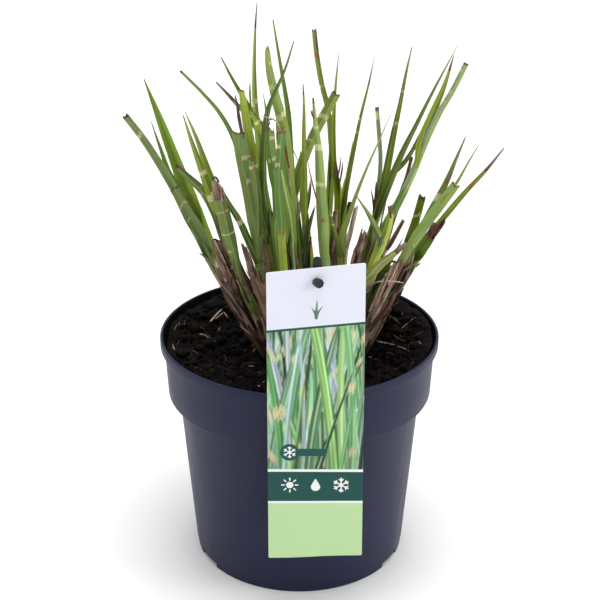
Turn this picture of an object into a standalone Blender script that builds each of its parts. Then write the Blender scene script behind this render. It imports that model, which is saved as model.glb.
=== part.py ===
"""A young zebra miscanthus clump in a round nursery pot, with its plain care card on a stake.

Metres, +Z up. The origin is the centre of the pot's flat underside, and -Y is the side with
the card. Lengths in the tables are millimetres, as their names say, and are scaled once.

Grass shoots are traced on a reference photograph: each leaf is a short list of places seen
there, in pixels, and a chosen depth. One pinhole view, whose focal length, tilt and distance
follow from the pot's own ellipses, turns a place and a depth into a point of the clump.
"""
import math

import bmesh
import bpy
import numpy as np
from mathutils import Vector

MM = 0.001
GAP = 0.3                      # between neighbouring pieces, mm

# The reference view: a pinhole in front of the pot, looking down on it
VIEW_FOCAL_PX = 1413.5
VIEW_CENTRE_PX = (299.4, 300.0)
VIEW_TILT = math.radians(24.14)
VIEW_BACK_MM = 873.9
VIEW_UP_MM = 577.5

# Pot: a 3 litre nursery pot, 19 cm across its lip
POT_HEIGHT_MM = 163.0
POT_BASE_RADIUS_MM = 73.7
POT_TAPER = 0.0797             # radius gained per millimetre of height below the collar
POT_WALL_MM = 1.3
POT_FLOOR_MM = 1.8
BASE_BAND_MM = 6.0             # height of the faint band above the underside
BASE_BAND_STEP_MM = 0.4
COLLAR_BOTTOM_MM = 121.4
COLLAR_RADIUS_MM = 90.5
COLLAR_TOP_RADIUS_MM = 92.3
LIP_BOTTOM_MM = 156.0
LIP_RADIUS_MM = 95.0
POT_SIDES = 48
DRAIN_HOLES = 6
DRAIN_HOLE_RADIUS_MM = 4.5
DRAIN_RING_MM = 50.0
NOTCH_ANGLES = (60.5, 180.0, 299.5)    # degrees round from the card side
NOTCH_HALF_WIDTH_MM = 10.5
NOTCH_HEIGHT_MM = 3.6
NOTCH_DEPTH_MM = 5.0

# Soil
SOIL_TOP_MM = 149.5
SOIL_EDGE_RISE_MM = 5.5
CROWN_CENTRE_MM = (9.0, 4.0)
CROWN_FLAT_RADIUS_MM = 49.0    # about the pot's axis

# Card and stake: the card's corners as they hang in front of the rim
CARD_THICKNESS_MM = 0.45
CARD_CORNERS_MM = dict(top_left=(-19.8, -101.2, 249.0), top_right=(40.1, -88.5, 250.0),
                       bottom_left=(-20.2, -98.2, 45.0), bottom_right=(40.9, -96.0, 45.6))
CARD_CORNER_CUT = 0.035        # of the width, taken off each corner
CARD_ROWS = 8
CARD_HOLE = (0.503, 0.0455)    # across and down the card, as shares of its sides
CARD_HOLE_RADIUS_MM = 2.7
STAKE_WIDTH_MM = 5.4
STAKE_THICKNESS_MM = 1.5
STAKE_PATH_MM = ((9.2, -76.0, 100.0), (9.5, -79.6, 124.0), (9.9, -89.8, 163.0), (10.7, -92.4, 255.5))
STAKE_RINGS = 13
PEG_NECK_RADIUS_MM = 2.1
PEG_HEAD_RADIUS_MM = 3.4
PEG_HEAD_MM = 1.6

# Grass: sections are six-sided in a shoot's main leaf and four-sided in its side leaves
STEM_RADIUS_MM = 2.5
LEAF_HALF_THICKNESS_MM = 0.45
LEAF_FOLD = 0.32               # rise of a leaf's edges above its midrib, per half width
MAIN_RINGS = 10
SIDE_RINGS = 7
FAR_LEAN = 1.45                # the far side, which the view hides, leans out as far as the flanks
SPREAD_ROUNDS = 40
SPREAD_PUSHES = 12             # small pushes in each round
SPREAD_SAMPLES = 34
CROWN_RADIUS_MM = 37.0         # the feet stay within this circle of the soil
FEET_ROUNDS = 300
FEET_SHIFT_MM = 6.0
SPREAD_TOP_MM = 240.0          # height over the soil at which a shoot's depth shift is whole

POINT, CUT = "point", "cut"


def leaf(seen_px, wide_mm, tip_y_mm, end=POINT, turn=0.0, sheath_row=None):
    """One leaf from its tip down: seen_px are places in the photograph, and wide_mm is its
    real width. Below sheath_row, a row of the photograph, a main leaf is a round stem."""
    far_y_mm = tip_y_mm * FAR_LEAN if tip_y_mm > 0 else tip_y_mm
    return dict(seen=seen_px, wide=wide_mm, tip_y=far_y_mm, end=end, turn=math.radians(turn),
                sheath_row=sheath_row)


def shoot(foot_mm, leaves, stem_mm=STEM_RADIUS_MM):
    """A shoot: where it stands on the soil, and its leaves, the main one first."""
    return dict(foot=foot_mm, leaves=leaves, stem=stem_mm)


SHOOTS = [
    shoot((-24, -2), [
        leaf([(124, 114), (147, 144), (173, 186), (198, 236), (221, 280)], 7.0, -18, CUT, 10, 238),
        leaf([(172, 186), (186, 210), (199, 233), (211, 258)], 8.6, -22, CUT, -14)]),
    shoot((-20, 9), [
        leaf([(144, 79), (156, 108), (171, 146), (185, 182), (204, 226), (224, 270)], 9.6, 22, turn=18,
             sheath_row=230),
        leaf([(151, 121), (161, 150), (172, 178), (186, 205)], 4.4, 12)]),
    shoot((-19, 1), [
        leaf([(174, 165), (188, 178), (203, 193), (214, 214), (226, 244)], 6.2, 2, turn=-20,
             sheath_row=240)]),
    shoot((-15, -10), [
        leaf([(185, 112), (196, 138), (207, 170), (216, 200), (228, 236), (240, 270)], 9.4, -22, turn=12,
             sheath_row=246),
        leaf([(183, 115), (190, 140), (199, 170), (208, 198), (219, 226)], 7.0, -30)]),
    shoot((-11, -19), [
        leaf([(217, 183), (222, 204), (228, 230), (235, 258), (244, 288)], 9.2, -42, CUT, -8, 262)]),
    shoot((-9, 17), [
        leaf([(180, 71), (203, 94), (222, 117), (236, 146), (246, 190)], 4.6, 34, turn=-10,
             sheath_row=215)]),
    shoot((-4, -13), [
        leaf([(236, 130), (241, 154), (247, 182), (253, 214), (258, 244), (262, 276)], 12.6, -34, CUT, 8, 250),
        leaf([(217, 181), (229, 204), (240, 222), (250, 244), (258, 262)], 5.0, -36),
        leaf([(252, 157), (256, 182), (258, 208), (260, 244)], 6.6, -40, CUT)], 2.8),
    shoot((-3, 3), [
        leaf([(241, 88), (245, 114), (249, 140), (254, 170), (262, 220)], 6.2, -6, CUT, 16, 224)]),
    shoot((-1, 13), [
        leaf([(257, 3), (255, 32), (254, 72), (255, 108), (259, 146), (266, 200)], 6.6, 16, turn=-14,
             sheath_row=196)], 2.6),
    shoot((-3, 24), [
        leaf([(221, 57), (233, 79), (246, 101), (260, 126), (272, 162)], 6.4, 46, turn=20,
             sheath_row=200),
        leaf([(216, 82), (232, 99), (250, 120), (268, 150)], 2.6, 40)]),
    shoot((5, -3), [
        leaf([(267, 44), (270, 70), (276, 96), (283, 122), (289, 152), (293, 190)], 7.6, -14, CUT, -12, 204)]),
    shoot((9, 10), [
        leaf([(273, 20), (278, 50), (284, 84), (289, 116), (291, 150), (294, 196)], 4.8, 14, turn=15,
             sheath_row=190)]),
    shoot((-1, -6), [
        leaf([(294, 41), (286, 68), (277, 90), (269, 110), (265, 136), (268, 176), (272, 214)], 6.0, -30,
             turn=-25, sheath_row=214)]),
    shoot((-3, -23), [
        leaf([(268, 126), (269, 150), (272, 180), (274, 210), (275, 244)], 8.4, -44, CUT, 12, 240),
        leaf([(263, 92), (266, 112), (268, 136), (271, 168)], 3.0, -40)]),
    shoot((-5, -28), [
        leaf([(283, 130), (280, 158), (279, 190), (282, 224), (283, 256)], 9.0, -56, CUT, -10, 232)], 3.0),
    shoot((5, -30), [
        leaf([(279, 170), (285, 196), (290, 220), (289, 244), (287, 266)], 7.6, -58, turn=14,
             sheath_row=248)]),
    shoot((6, 1), [
        leaf([(303, 84), (304, 108), (304, 140), (305, 176), (305, 216), (306, 246)], 3.8, -4, turn=-10,
             sheath_row=222)], 2.2),
    shoot((1, 9), [
        leaf([(338, 92), (328, 110), (315, 134), (304, 160), (297, 184), (293, 218)], 7.2, 8, CUT, 10, 206)]),
    shoot((14, 20), [
        leaf([(314, 28), (317, 56), (322, 84), (328, 108), (331, 136), (331, 176)], 4.4, 34, CUT, 12, 186)]),
    shoot((19, 12), [
        leaf([(339, 52), (336, 80), (334, 106), (333, 136), (334, 170), (338, 210)], 4.2, 18, turn=-16,
             sheath_row=196)]),
    shoot((17, -20), [
        leaf([(313, 98), (315, 122), (318, 148), (320, 184), (322, 218), (324, 250), (326, 276)], 8.4, -52,
             turn=8, sheath_row=258)], 2.9),
    shoot((25, 8), [
        leaf([(375, 54), (369, 83), (361, 116), (355, 145), (349, 176), (344, 206), (341, 236)], 4.2, 16,
             turn=12, sheath_row=224)], 2.3),
    shoot((27, -6), [
        leaf([(391, 113), (380, 139), (367, 168), (356, 196), (348, 220), (342, 246)], 5.0, -14, turn=-12,
             sheath_row=244),
        leaf([(329, 208), (333, 226), (338, 244), (341, 256)], 4.0, -26)], 2.4),
    shoot((29, 21), [
        leaf([(377, 106), (379, 130), (381, 160), (379, 190), (376, 220)], 3.4, 44, CUT, 20, 200)], 2.2),
    shoot((33, 11), [
        leaf([(412, 47), (406, 73), (400, 103), (393, 135), (387, 166), (381, 196), (374, 226)], 5.6, 24,
             turn=-14, sheath_row=214)]),
    shoot((34, 1), [
        leaf([(458, 45), (435, 88), (416, 126), (403, 152), (392, 178), (381, 206), (368, 246)], 6.6, 2,
             turn=10, sheath_row=232),
        leaf([(433, 106), (421, 133), (409, 156), (398, 178)], 3.0, 10)]),
    shoot((37, -8), [
        leaf([(467, 62), (453, 90), (439, 114), (425, 144), (412, 176), (399, 208), (384, 246)], 6.4, -30, CUT,
             -10, 236),
        leaf([(454, 55), (445, 86), (434, 116), (424, 142), (416, 166)], 5.0, -22)]),
    shoot((39, 1), [
        leaf([(424, 194), (418, 216), (411, 238), (401, 262)], 6.8, -8, CUT, 16, 252)]),
    shoot((40, -13), [
        leaf([(457, 184), (440, 206), (423, 228), (408, 250), (394, 276)], 8.8, -46, CUT, -6, 262),
        leaf([(481, 141), (468, 163), (456, 184), (440, 210)], 2.2, -50)]),
    shoot((42, 9), [
        leaf([(466, 136), (456, 160), (446, 184), (434, 208), (421, 234), (405, 262)], 7.4, 16, turn=14,
             sheath_row=246)]),
    shoot((42, 20), [
        leaf([(504, 148), (487, 169), (467, 190), (448, 212), (430, 234), (412, 258)], 4.2, 34, turn=-10,
             sheath_row=240)], 2.3),
    shoot((45, 5), [
        leaf([(439, 221), (430, 238), (419, 254), (407, 274)], 9.0, 4, CUT, 8, 268)]),
    shoot((31, -17), [
        leaf([(391, 214), (386, 232), (379, 252), (372, 272)], 7.0, -36, turn=-14, sheath_row=268),
        leaf([(357, 197), (369, 212), (378, 230), (379, 254)], 5.4, -44)]),
    shoot((24, -29), [
        leaf([(406, 243), (393, 254), (380, 264), (368, 277), (356, 296)], 7.6, -66, turn=10, sheath_row=290)],
          2.6),
    shoot((36, -5), [
        leaf([(385, 241), (380, 256), (374, 274)], 7.6, -8, turn=-20, sheath_row=268),
        leaf([(403, 238), (392, 258), (380, 278), (372, 296)], 4.6, -4)]),
    shoot((14, 33), [
        leaf([(300, 150), (303, 190), (306, 225)], 5.4, 66, turn=15, sheath_row=218)]),
    shoot((2, 35), [
        leaf([(276, 96), (279, 150), (286, 205)], 5.2, 74, turn=-12, sheath_row=205)]),
    shoot((25, 31), [
        leaf([(352, 132), (348, 170), (342, 208)], 5.2, 70, turn=10, sheath_row=210)]),
]

CUT_STEMS = [
    shoot((-16, -12), [leaf([(216, 241), (223, 262), (233, 286), (246, 314)], 8.4, -26, CUT, 10, 268)]),
    shoot((-21, -16), [leaf([(216, 262), (226, 286), (240, 312)], 5.0, -46, CUT, 0, 276)], 2.0),
    shoot((-26, -8), [leaf([(220, 284), (233, 306), (249, 332)], 3.6, -24, CUT, 0, 300)], 1.6),
    shoot((-15, -21), [leaf([(240, 280), (247, 298), (256, 316)], 5.6, -30, CUT, 0, 290)], 2.6),
    shoot((-13, 5), [leaf([(242, 242), (247, 258), (256, 284)], 4.6, 6, CUT, 15, 268)], 2.0),
    shoot((-12, -24), [leaf([(254, 272), (259, 288), (265, 306)], 8.4, -36, CUT, -10, 298)], 3.0),
    shoot((-5, -5), [leaf([(262, 238), (266, 258), (269, 284)], 4.8, -10, CUT, 0, 272)], 2.1),
    shoot((3, 3), [leaf([(271, 210), (272, 236), (276, 268)], 3.0, 0, CUT, 20, 240)], 1.6),
    shoot((14, 2), [leaf([(336, 210), (334, 238), (330, 270)], 4.4, 6, CUT, -10, 246)], 2.0),
    shoot((21, 1), [leaf([(339, 227), (337, 248), (334, 276)], 3.8, 4, CUT, 10, 256)], 1.8),
    shoot((24, 16), [leaf([(350, 201), (345, 222), (339, 252)], 3.0, 24, CUT, 0, 226)], 1.7),
    shoot((29, -3), [leaf([(357, 204), (351, 230), (344, 262)], 3.6, -8, CUT, 0, 244)], 1.8),
    shoot((27, -12), [leaf([(366, 228), (361, 244), (354, 266)], 6.6, -24, CUT, 8, 262)], 2.5),
    shoot((29, 4), [leaf([(377, 184), (376, 210), (369, 240)], 3.0, 2, CUT, 12, 214)], 1.7),
    shoot((37, 6), [leaf([(404, 219), (391, 242), (378, 264)], 3.6, 8, CUT, -10, 250)], 1.9),
    shoot((40, -19), [leaf([(397, 262), (388, 282), (376, 308)], 5.4, -36, CUT, 10, 276)], 2.6),
    shoot((43, -9), [leaf([(405, 264), (398, 282), (386, 304)], 5.6, -18, CUT, -10, 280)], 2.5),
    shoot((37, 14), [leaf([(412, 156), (406, 180), (396, 210)], 3.0, 22, CUT, 16, 190)], 1.7),
]


def lift(seen_px, depth_y):
    """Points of the reference view's rays at the given y, in mm."""
    seen = np.atleast_2d(np.asarray(seen_px, float))
    sine, cosine = math.sin(VIEW_TILT), math.cos(VIEW_TILT)
    across = (seen[:, 0] - VIEW_CENTRE_PX[0]) / VIEW_FOCAL_PX
    up = (VIEW_CENTRE_PX[1] - seen[:, 1]) / VIEW_FOCAL_PX
    run = (depth_y + VIEW_BACK_MM) / (cosine + up * sine)
    return np.stack([run * across, run * (cosine + up * sine) - VIEW_BACK_MM,
                     VIEW_UP_MM + run * (up * cosine - sine)], axis=1)


def see(points):
    """The places in the reference view of points in mm."""
    sine, cosine = math.sin(VIEW_TILT), math.cos(VIEW_TILT)
    back, down = points[:, 1] + VIEW_BACK_MM, points[:, 2] - VIEW_UP_MM
    scale = VIEW_FOCAL_PX / (back * cosine - down * sine)
    return np.stack([VIEW_CENTRE_PX[0] + scale * points[:, 0],
                     VIEW_CENTRE_PX[1] - scale * (back * sine + down * cosine)], axis=1)


def smooth_path(points, count):
    """An open Catmull-Rom curve through the points, read at even steps of its length."""
    padded = np.vstack([2 * points[0] - points[1], points, 2 * points[-1] - points[-2]])
    share = np.linspace(0, 1, 12, endpoint=False)[:, None]
    pieces = []
    for before, start, end, after in zip(padded, padded[1:], padded[2:], padded[3:]):
        pieces.append(0.5 * (2 * start + (end - before) * share
                             + (2 * before - 5 * start + 4 * end - after) * share ** 2
                             + (3 * start - before - 3 * end + after) * share ** 3))
    curve = np.vstack(pieces + [points[-1:]])
    length = np.r_[0, np.cumsum(np.linalg.norm(np.diff(curve, axis=0), axis=1))]
    wanted = np.linspace(0, length[-1], count)
    return np.stack([np.interp(wanted, length, curve[:, axis]) for axis in range(curve.shape[1])], axis=1)


def rise_share(heights):
    """0 at the soil and 1 at SPREAD_TOP_MM over it: how far a shoot's depth shift applies."""
    return np.clip((heights - SOIL_TOP_MM) / SPREAD_TOP_MM, 0, 1)


def main_path(row, shift, count):
    """A shoot's main leaf from its foot to its tip, in mm. Its depth runs evenly from the foot's
    to the tip's, moved by shift = (at the foot, at the top)."""
    main = row["leaves"][0]
    foot = np.array([row["foot"][0], row["foot"][1] + shift[0], SOIL_TOP_MM + GAP])
    seen = np.array(main["seen"][::-1], float)
    foot_seen = see(foot[None])[0]
    rows = (foot_seen[1] - seen[:, 1]) / (foot_seen[1] - seen[-1, 1])
    depth = foot[1] + (main["tip_y"] + shift[1] - foot[1]) * rows
    return smooth_path(np.vstack([foot, lift(seen, depth)]), count)


def side_path(row, side, trunk, shift, count):
    """A side leaf from inside its shoot's stem to its tip, in mm."""
    seen = np.array(side["seen"][::-1], float)
    trunk_seen = see(trunk)
    joint = int(np.argmin(np.linalg.norm(trunk_seen - seen[0], axis=1)))
    rows = np.linspace(0, 1, len(seen))[1:]
    depth = trunk[joint, 1] + (side["tip_y"] + shift[1] - trunk[joint, 1]) * rows
    return smooth_path(np.vstack([trunk[joint], lift(seen[1:], depth)]), count)


def widths(row, side, path, is_main):
    """Half width, half thickness and edge rise at each ring of a leaf, in mm."""
    share = np.linspace(0, 1, len(path))
    thin = LEAF_HALF_THICKNESS_MM
    if is_main:
        rows = see(path)[:, 1]
        open_share = np.interp(-side["sheath_row"], -rows, share)
    else:
        open_share = 0.0
    blade = np.clip((share - open_share) / (1 - open_share), 0, 1)
    swell = np.clip(blade / 0.22, 0, 1)
    taper = 1 - 0.22 * blade if side["end"] == CUT else np.maximum(1 - blade ** 1.7, 0.04)
    start = row["stem"] if is_main else 0.75 * row["stem"]
    half = (start + (side["wide"] / 2 - start) * swell) * taper
    stem_depth = row["stem"] if is_main else 0.5 * row["stem"]
    depth = stem_depth + (thin - stem_depth) * np.clip(blade / 0.3, 0, 1)
    depth = np.minimum(depth, np.maximum(half, 0.18))
    rise = LEAF_FOLD * half * swell
    return half, depth, rise


def section_frames(path, turn):
    """Across and upper-side directions at each ring: a leaf shows its width to the reference
    view, turned about its own length, and its upper side faces the clump's middle."""
    along = np.gradient(path, axis=0)
    along /= np.linalg.norm(along, axis=1)[:, None]
    view = path - np.array([0, -VIEW_BACK_MM, VIEW_UP_MM])
    view /= np.linalg.norm(view, axis=1)[:, None]
    across = np.cross(along, view)
    across /= np.linalg.norm(across, axis=1)[:, None]
    upper = np.cross(across, along)
    across, upper = (across * math.cos(turn) + upper * math.sin(turn),
                     upper * math.cos(turn) - across * math.sin(turn))
    inward = np.array([*CROWN_CENTRE_MM, 0]) - path[-1]
    inward[2] = 60
    if np.dot(upper[-1], inward) < 0:
        across, upper = -across, -upper
    return across, upper


def loft(path, half, depth, rise, turn, sides):
    """Vertices and faces of a closed leaf: a flattened ring of the given number of sides at
    each point of the path, with its edges raised, and a cap at each end."""
    across, upper = section_frames(path, turn)
    angle = np.arange(sides) * 2 * math.pi / sides
    flat = np.cos(angle)[None, :] * half[:, None]
    lifted = np.sin(angle)[None, :] * depth[:, None] + np.abs(np.cos(angle))[None, :] * rise[:, None]
    rings = path[:, None] + flat[..., None] * across[:, None] + lifted[..., None] * upper[:, None]
    if path[0, 2] < SOIL_TOP_MM + 2 * GAP:
        rings[0, :, 2] = SOIL_TOP_MM + GAP
    faces = [list(range(sides))[::-1], [(len(path) - 1) * sides + k for k in range(sides)]]
    for ring in range(len(path) - 1):
        for k in range(sides):
            low, next_low = ring * sides + k, ring * sides + (k + 1) % sides
            faces.append([low, next_low, next_low + sides, low + sides])
    return rings.reshape(-1, 3), faces


def samples(row, shift):
    """Places, half widths and depths along every leaf of a shoot, for keeping shoots apart."""
    trunk = main_path(row, shift, SPREAD_SAMPLES)
    parts = [(trunk, row["leaves"][0], True)]
    for side in row["leaves"][1:]:
        parts.append((side_path(row, side, trunk, shift, SPREAD_SAMPLES // 2), side, False))
    found = []
    for path, side, is_main in parts:
        half, depth, rise = widths(row, side, path, is_main)
        thick = depth + rise + half * abs(math.sin(side["turn"])) + 0.35 * depth
        found.append(np.column_stack([path, half, thick]))
    return np.vstack(found)


def plant_feet(rows):
    """Feet on the soil, in mm: the table's, moved apart until no two stems touch, and kept
    within the crown's circle."""
    feet = np.array([row["foot"] for row in rows], float)
    stems = np.array([row["stem"] for row in rows])
    room = 1.12 * (stems[:, None] + stems[None]) + 3 * GAP
    centre = np.array(CROWN_CENTRE_MM)
    for _ in range(FEET_ROUNDS):
        apart = feet[:, None] - feet[None]
        distance = np.linalg.norm(apart, axis=2) + np.eye(len(feet)) * 1000
        lack = np.clip(room - distance, 0, None)
        feet += 0.35 * (apart / distance[..., None] * lack[..., None]).sum(axis=1)
        out = feet - centre
        reach = np.linalg.norm(out, axis=1)
        feet = centre + out * np.minimum(1, CROWN_RADIUS_MM / np.maximum(reach, 1))[:, None]
    return feet


def close_pairs(cloud, owner):
    """Pairs of samples of different shoots that cover the same place of the view."""
    seen = see(cloud[:, :3])
    scale = VIEW_FOCAL_PX / (cloud[:, 1] + VIEW_BACK_MM + 70)
    half = cloud[:, 3] * scale
    step = np.gradient(seen, axis=0)
    length = np.linalg.norm(step, axis=1)
    along = step / length[:, None]
    length = np.minimum(length, 9.0)
    delta = seen[:, None] - seen[None]
    lengthwise = np.abs((delta * along[:, None]).sum(axis=2))
    sidewise = np.abs(delta[..., 0] * along[:, None, 1] - delta[..., 1] * along[:, None, 0])
    near = (sidewise < half[:, None] + half[None] + 1.0) & (lengthwise < length[:, None] * 0.55 + half[None])
    near &= owner[:, None] != owner[None]
    near |= near.T
    return np.nonzero(np.triu(near))


def spread_apart(rows):
    """Depth shifts, one pair for each shoot, that leave room between all of them.

    Wherever two shoots cover the same place of the view and stand closer in depth than their
    thicknesses and the gap, both are pushed, one forward and one back, until none does."""
    shifts = np.zeros((len(rows), 2))
    feet = np.array([row["foot"] for row in rows])
    side_reach = np.clip(CROWN_RADIUS_MM ** 2 - (feet[:, 0] - CROWN_CENTRE_MM[0]) ** 2, 4.0, None) ** 0.5
    nearest = np.maximum(CROWN_CENTRE_MM[1] - side_reach - feet[:, 1], -FEET_SHIFT_MM)
    farthest = np.minimum(CROWN_CENTRE_MM[1] + side_reach - feet[:, 1], FEET_SHIFT_MM)
    for _ in range(SPREAD_ROUNDS):
        cloud = [samples(row, shift) for row, shift in zip(rows, shifts)]
        owner = np.repeat(np.arange(len(rows)), [len(points) for points in cloud])
        cloud = np.vstack(cloud)
        first, second = close_pairs(cloud, owner)
        top_share = rise_share(cloud[:, 2])
        room = cloud[first, 4] + cloud[second, 4] + 2 * GAP
        order = np.where(cloud[first, 1] < cloud[second, 1], -1.0, 1.0)
        start = shifts.copy()
        for _ in range(SPREAD_PUSHES):
            moved = shifts - start
            depth = cloud[:, 1] + moved[owner, 0] * (1 - top_share) + moved[owner, 1] * top_share
            lack = np.clip(room - order * (depth[first] - depth[second]), 0, None)
            push = np.zeros((2, len(rows), 2))
            for mine, way in ((first, order), (second, -order)):
                for column, weight in ((0, 1 - top_share[mine]), (1, top_share[mine])):
                    amount = way * lack * weight
                    np.maximum.at(push[0, :, column], owner[mine], amount)
                    np.minimum.at(push[1, :, column], owner[mine], amount)
            shifts += 0.3 * push.sum(axis=0)
            shifts[:, 0] = np.clip(shifts[:, 0], nearest, farthest)
    print("closest pairs lack", round(float(lack.max()), 2), "mm of room")
    return shifts


def plastic(name, colour, roughness):
    """A Principled material with one colour."""
    material = bpy.data.materials.new(name)
    material.use_nodes = True
    shader = material.node_tree.nodes["Principled BSDF"]
    shader.inputs["Base Color"].default_value = (*colour, 1)
    shader.inputs["Roughness"].default_value = roughness
    return material


def link(name, mesh, material):
    """A new object in the scene with this mesh and material."""
    item = bpy.data.objects.new(name, mesh)
    bpy.context.scene.collection.objects.link(item)
    mesh.materials.append(material)
    return item


def solid(name, points_mm, faces, material):
    """An object from points in mm and faces, with its faces pointing out."""
    mesh = bpy.data.meshes.new(name)
    mesh.from_pydata([Vector(point) * MM for point in points_mm.tolist()], [], faces)
    work = bmesh.new()
    work.from_mesh(mesh)
    bmesh.ops.recalc_face_normals(work, faces=work.faces)
    work.to_mesh(mesh)
    work.free()
    return link(name, mesh, material)


def combine(item, others, operation):
    """Unites the item with the others, or cuts them from it, and removes them."""
    for other in others:
        change = item.modifiers.new("combine", "BOOLEAN")
        change.operation = operation
        change.object = other
    graph = bpy.context.evaluated_depsgraph_get()
    mesh = bpy.data.meshes.new_from_object(item.evaluated_get(graph))
    item.modifiers.clear()
    item.data = mesh
    for other in others:
        bpy.data.objects.remove(other)


def turned(name, profile_mm, material, sides=POT_SIDES):
    """A closed profile of (radius, height) points turned about the pot's axis."""
    work = bmesh.new()
    ring = [work.verts.new((radius * MM, 0, height * MM)) for radius, height in profile_mm]
    edges = [work.edges.new((first, second)) for first, second in zip(ring, ring[1:])]
    bmesh.ops.spin(work, geom=ring + edges, cent=(0, 0, 0), axis=(0, 0, 1), dvec=(0, 0, 0),
                   angle=2 * math.pi, steps=sides, use_duplicate=False)
    bmesh.ops.remove_doubles(work, verts=work.verts, dist=1e-6)
    bmesh.ops.recalc_face_normals(work, faces=work.faces)
    mesh = bpy.data.meshes.new(name)
    work.to_mesh(mesh)
    work.free()
    return link(name, mesh, material)


def body_radius(height):
    """The pot's outer radius below the collar."""
    return POT_BASE_RADIUS_MM + POT_TAPER * height


def collar_radius(height):
    """The pot's outer radius on the collar."""
    share = (height - COLLAR_BOTTOM_MM) / (LIP_BOTTOM_MM - COLLAR_BOTTOM_MM)
    return COLLAR_RADIUS_MM + (COLLAR_TOP_RADIUS_MM - COLLAR_RADIUS_MM) * share


def pot_profile():
    """The pot's half section, from the axis below, up its outside and down its inside."""
    wall = POT_WALL_MM
    shelf = COLLAR_BOTTOM_MM
    top = POT_HEIGHT_MM
    return [(0, 0), (POT_BASE_RADIUS_MM - BASE_BAND_STEP_MM - 0.8, 0),
            (POT_BASE_RADIUS_MM - BASE_BAND_STEP_MM, 0.8),
            (body_radius(BASE_BAND_MM) - BASE_BAND_STEP_MM, BASE_BAND_MM),
            (body_radius(BASE_BAND_MM), BASE_BAND_MM + 0.4),
            (body_radius(shelf - 1), shelf - 1), (body_radius(shelf) + 1.2, shelf),
            (COLLAR_RADIUS_MM - 0.6, shelf), (COLLAR_RADIUS_MM, shelf + 0.7),
            (COLLAR_TOP_RADIUS_MM, LIP_BOTTOM_MM), (LIP_RADIUS_MM - 0.5, LIP_BOTTOM_MM + 0.5),
            (LIP_RADIUS_MM, LIP_BOTTOM_MM + 1.6), (LIP_RADIUS_MM, top - 1.4), (LIP_RADIUS_MM - 0.7, top),
            (LIP_RADIUS_MM - 1.4, top - 0.2), (LIP_RADIUS_MM - 1.6, LIP_BOTTOM_MM + 1.2),
            (COLLAR_TOP_RADIUS_MM - wall, LIP_BOTTOM_MM - 0.6),
            (COLLAR_RADIUS_MM - wall, shelf + wall), (body_radius(shelf) - wall + 0.4, shelf + wall - 0.4),
            (body_radius(shelf) - wall, shelf - 2),
            (body_radius(POT_FLOOR_MM) - wall - 2, POT_FLOOR_MM), (0, POT_FLOOR_MM)]


def drum(name, radius, height, centre, material, sides=12):
    """An upright cylinder in mm, for cuts."""
    work = bmesh.new()
    bmesh.ops.create_cone(work, cap_ends=True, segments=sides, radius1=radius * MM, radius2=radius * MM,
                          depth=height * MM)
    mesh = bpy.data.meshes.new(name)
    work.to_mesh(mesh)
    work.free()
    item = link(name, mesh, material)
    item.location = Vector(centre) * MM
    return item


def block(name, size, centre, material, turn=0.0):
    """A box in mm, turned about the upright axis, for cuts."""
    work = bmesh.new()
    bmesh.ops.create_cube(work, size=1.0)
    bmesh.ops.scale(work, vec=Vector(size) * MM, verts=work.verts)
    mesh = bpy.data.meshes.new(name)
    work.to_mesh(mesh)
    work.free()
    item = link(name, mesh, material)
    item.location = Vector(centre) * MM
    item.rotation_euler = (0, 0, turn)
    return item


def make_pot(material):
    """The moulded pot: turned, with drain holes in its floor and notches at its base edge."""
    pot = turned("pot", pot_profile(), material)
    cuts = []
    for index in range(DRAIN_HOLES):
        angle = 2 * math.pi * index / DRAIN_HOLES
        centre = (DRAIN_RING_MM * math.cos(angle), DRAIN_RING_MM * math.sin(angle), 0)
        cuts.append(drum("drain", DRAIN_HOLE_RADIUS_MM, 12, centre, material))
    for degrees in NOTCH_ANGLES:
        angle = math.radians(degrees - 90)
        out = POT_BASE_RADIUS_MM + 5 - NOTCH_DEPTH_MM / 2
        centre = (out * math.cos(angle), out * math.sin(angle), NOTCH_HEIGHT_MM / 2 - 1)
        size = (NOTCH_DEPTH_MM + 10, 2 * NOTCH_HALF_WIDTH_MM, NOTCH_HEIGHT_MM + 2)
        cuts.append(block("notch", size, centre, material, angle))
    combine(pot, cuts, "DIFFERENCE")
    return pot


def soil_height(x, y):
    """The soil's surface: flat under the crown, uneven round it and higher to the left."""
    loose = min(max((math.hypot(x, y) - CROWN_FLAT_RADIUS_MM - 0.1) / 14, 0), 1)
    bumps = 1.3 * math.sin(x / 9 + 1.7) * math.cos(y / 7.5) + SOIL_EDGE_RISE_MM * max(-x, 0) / 90 - 1.0
    return SOIL_TOP_MM + loose * bumps


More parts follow.
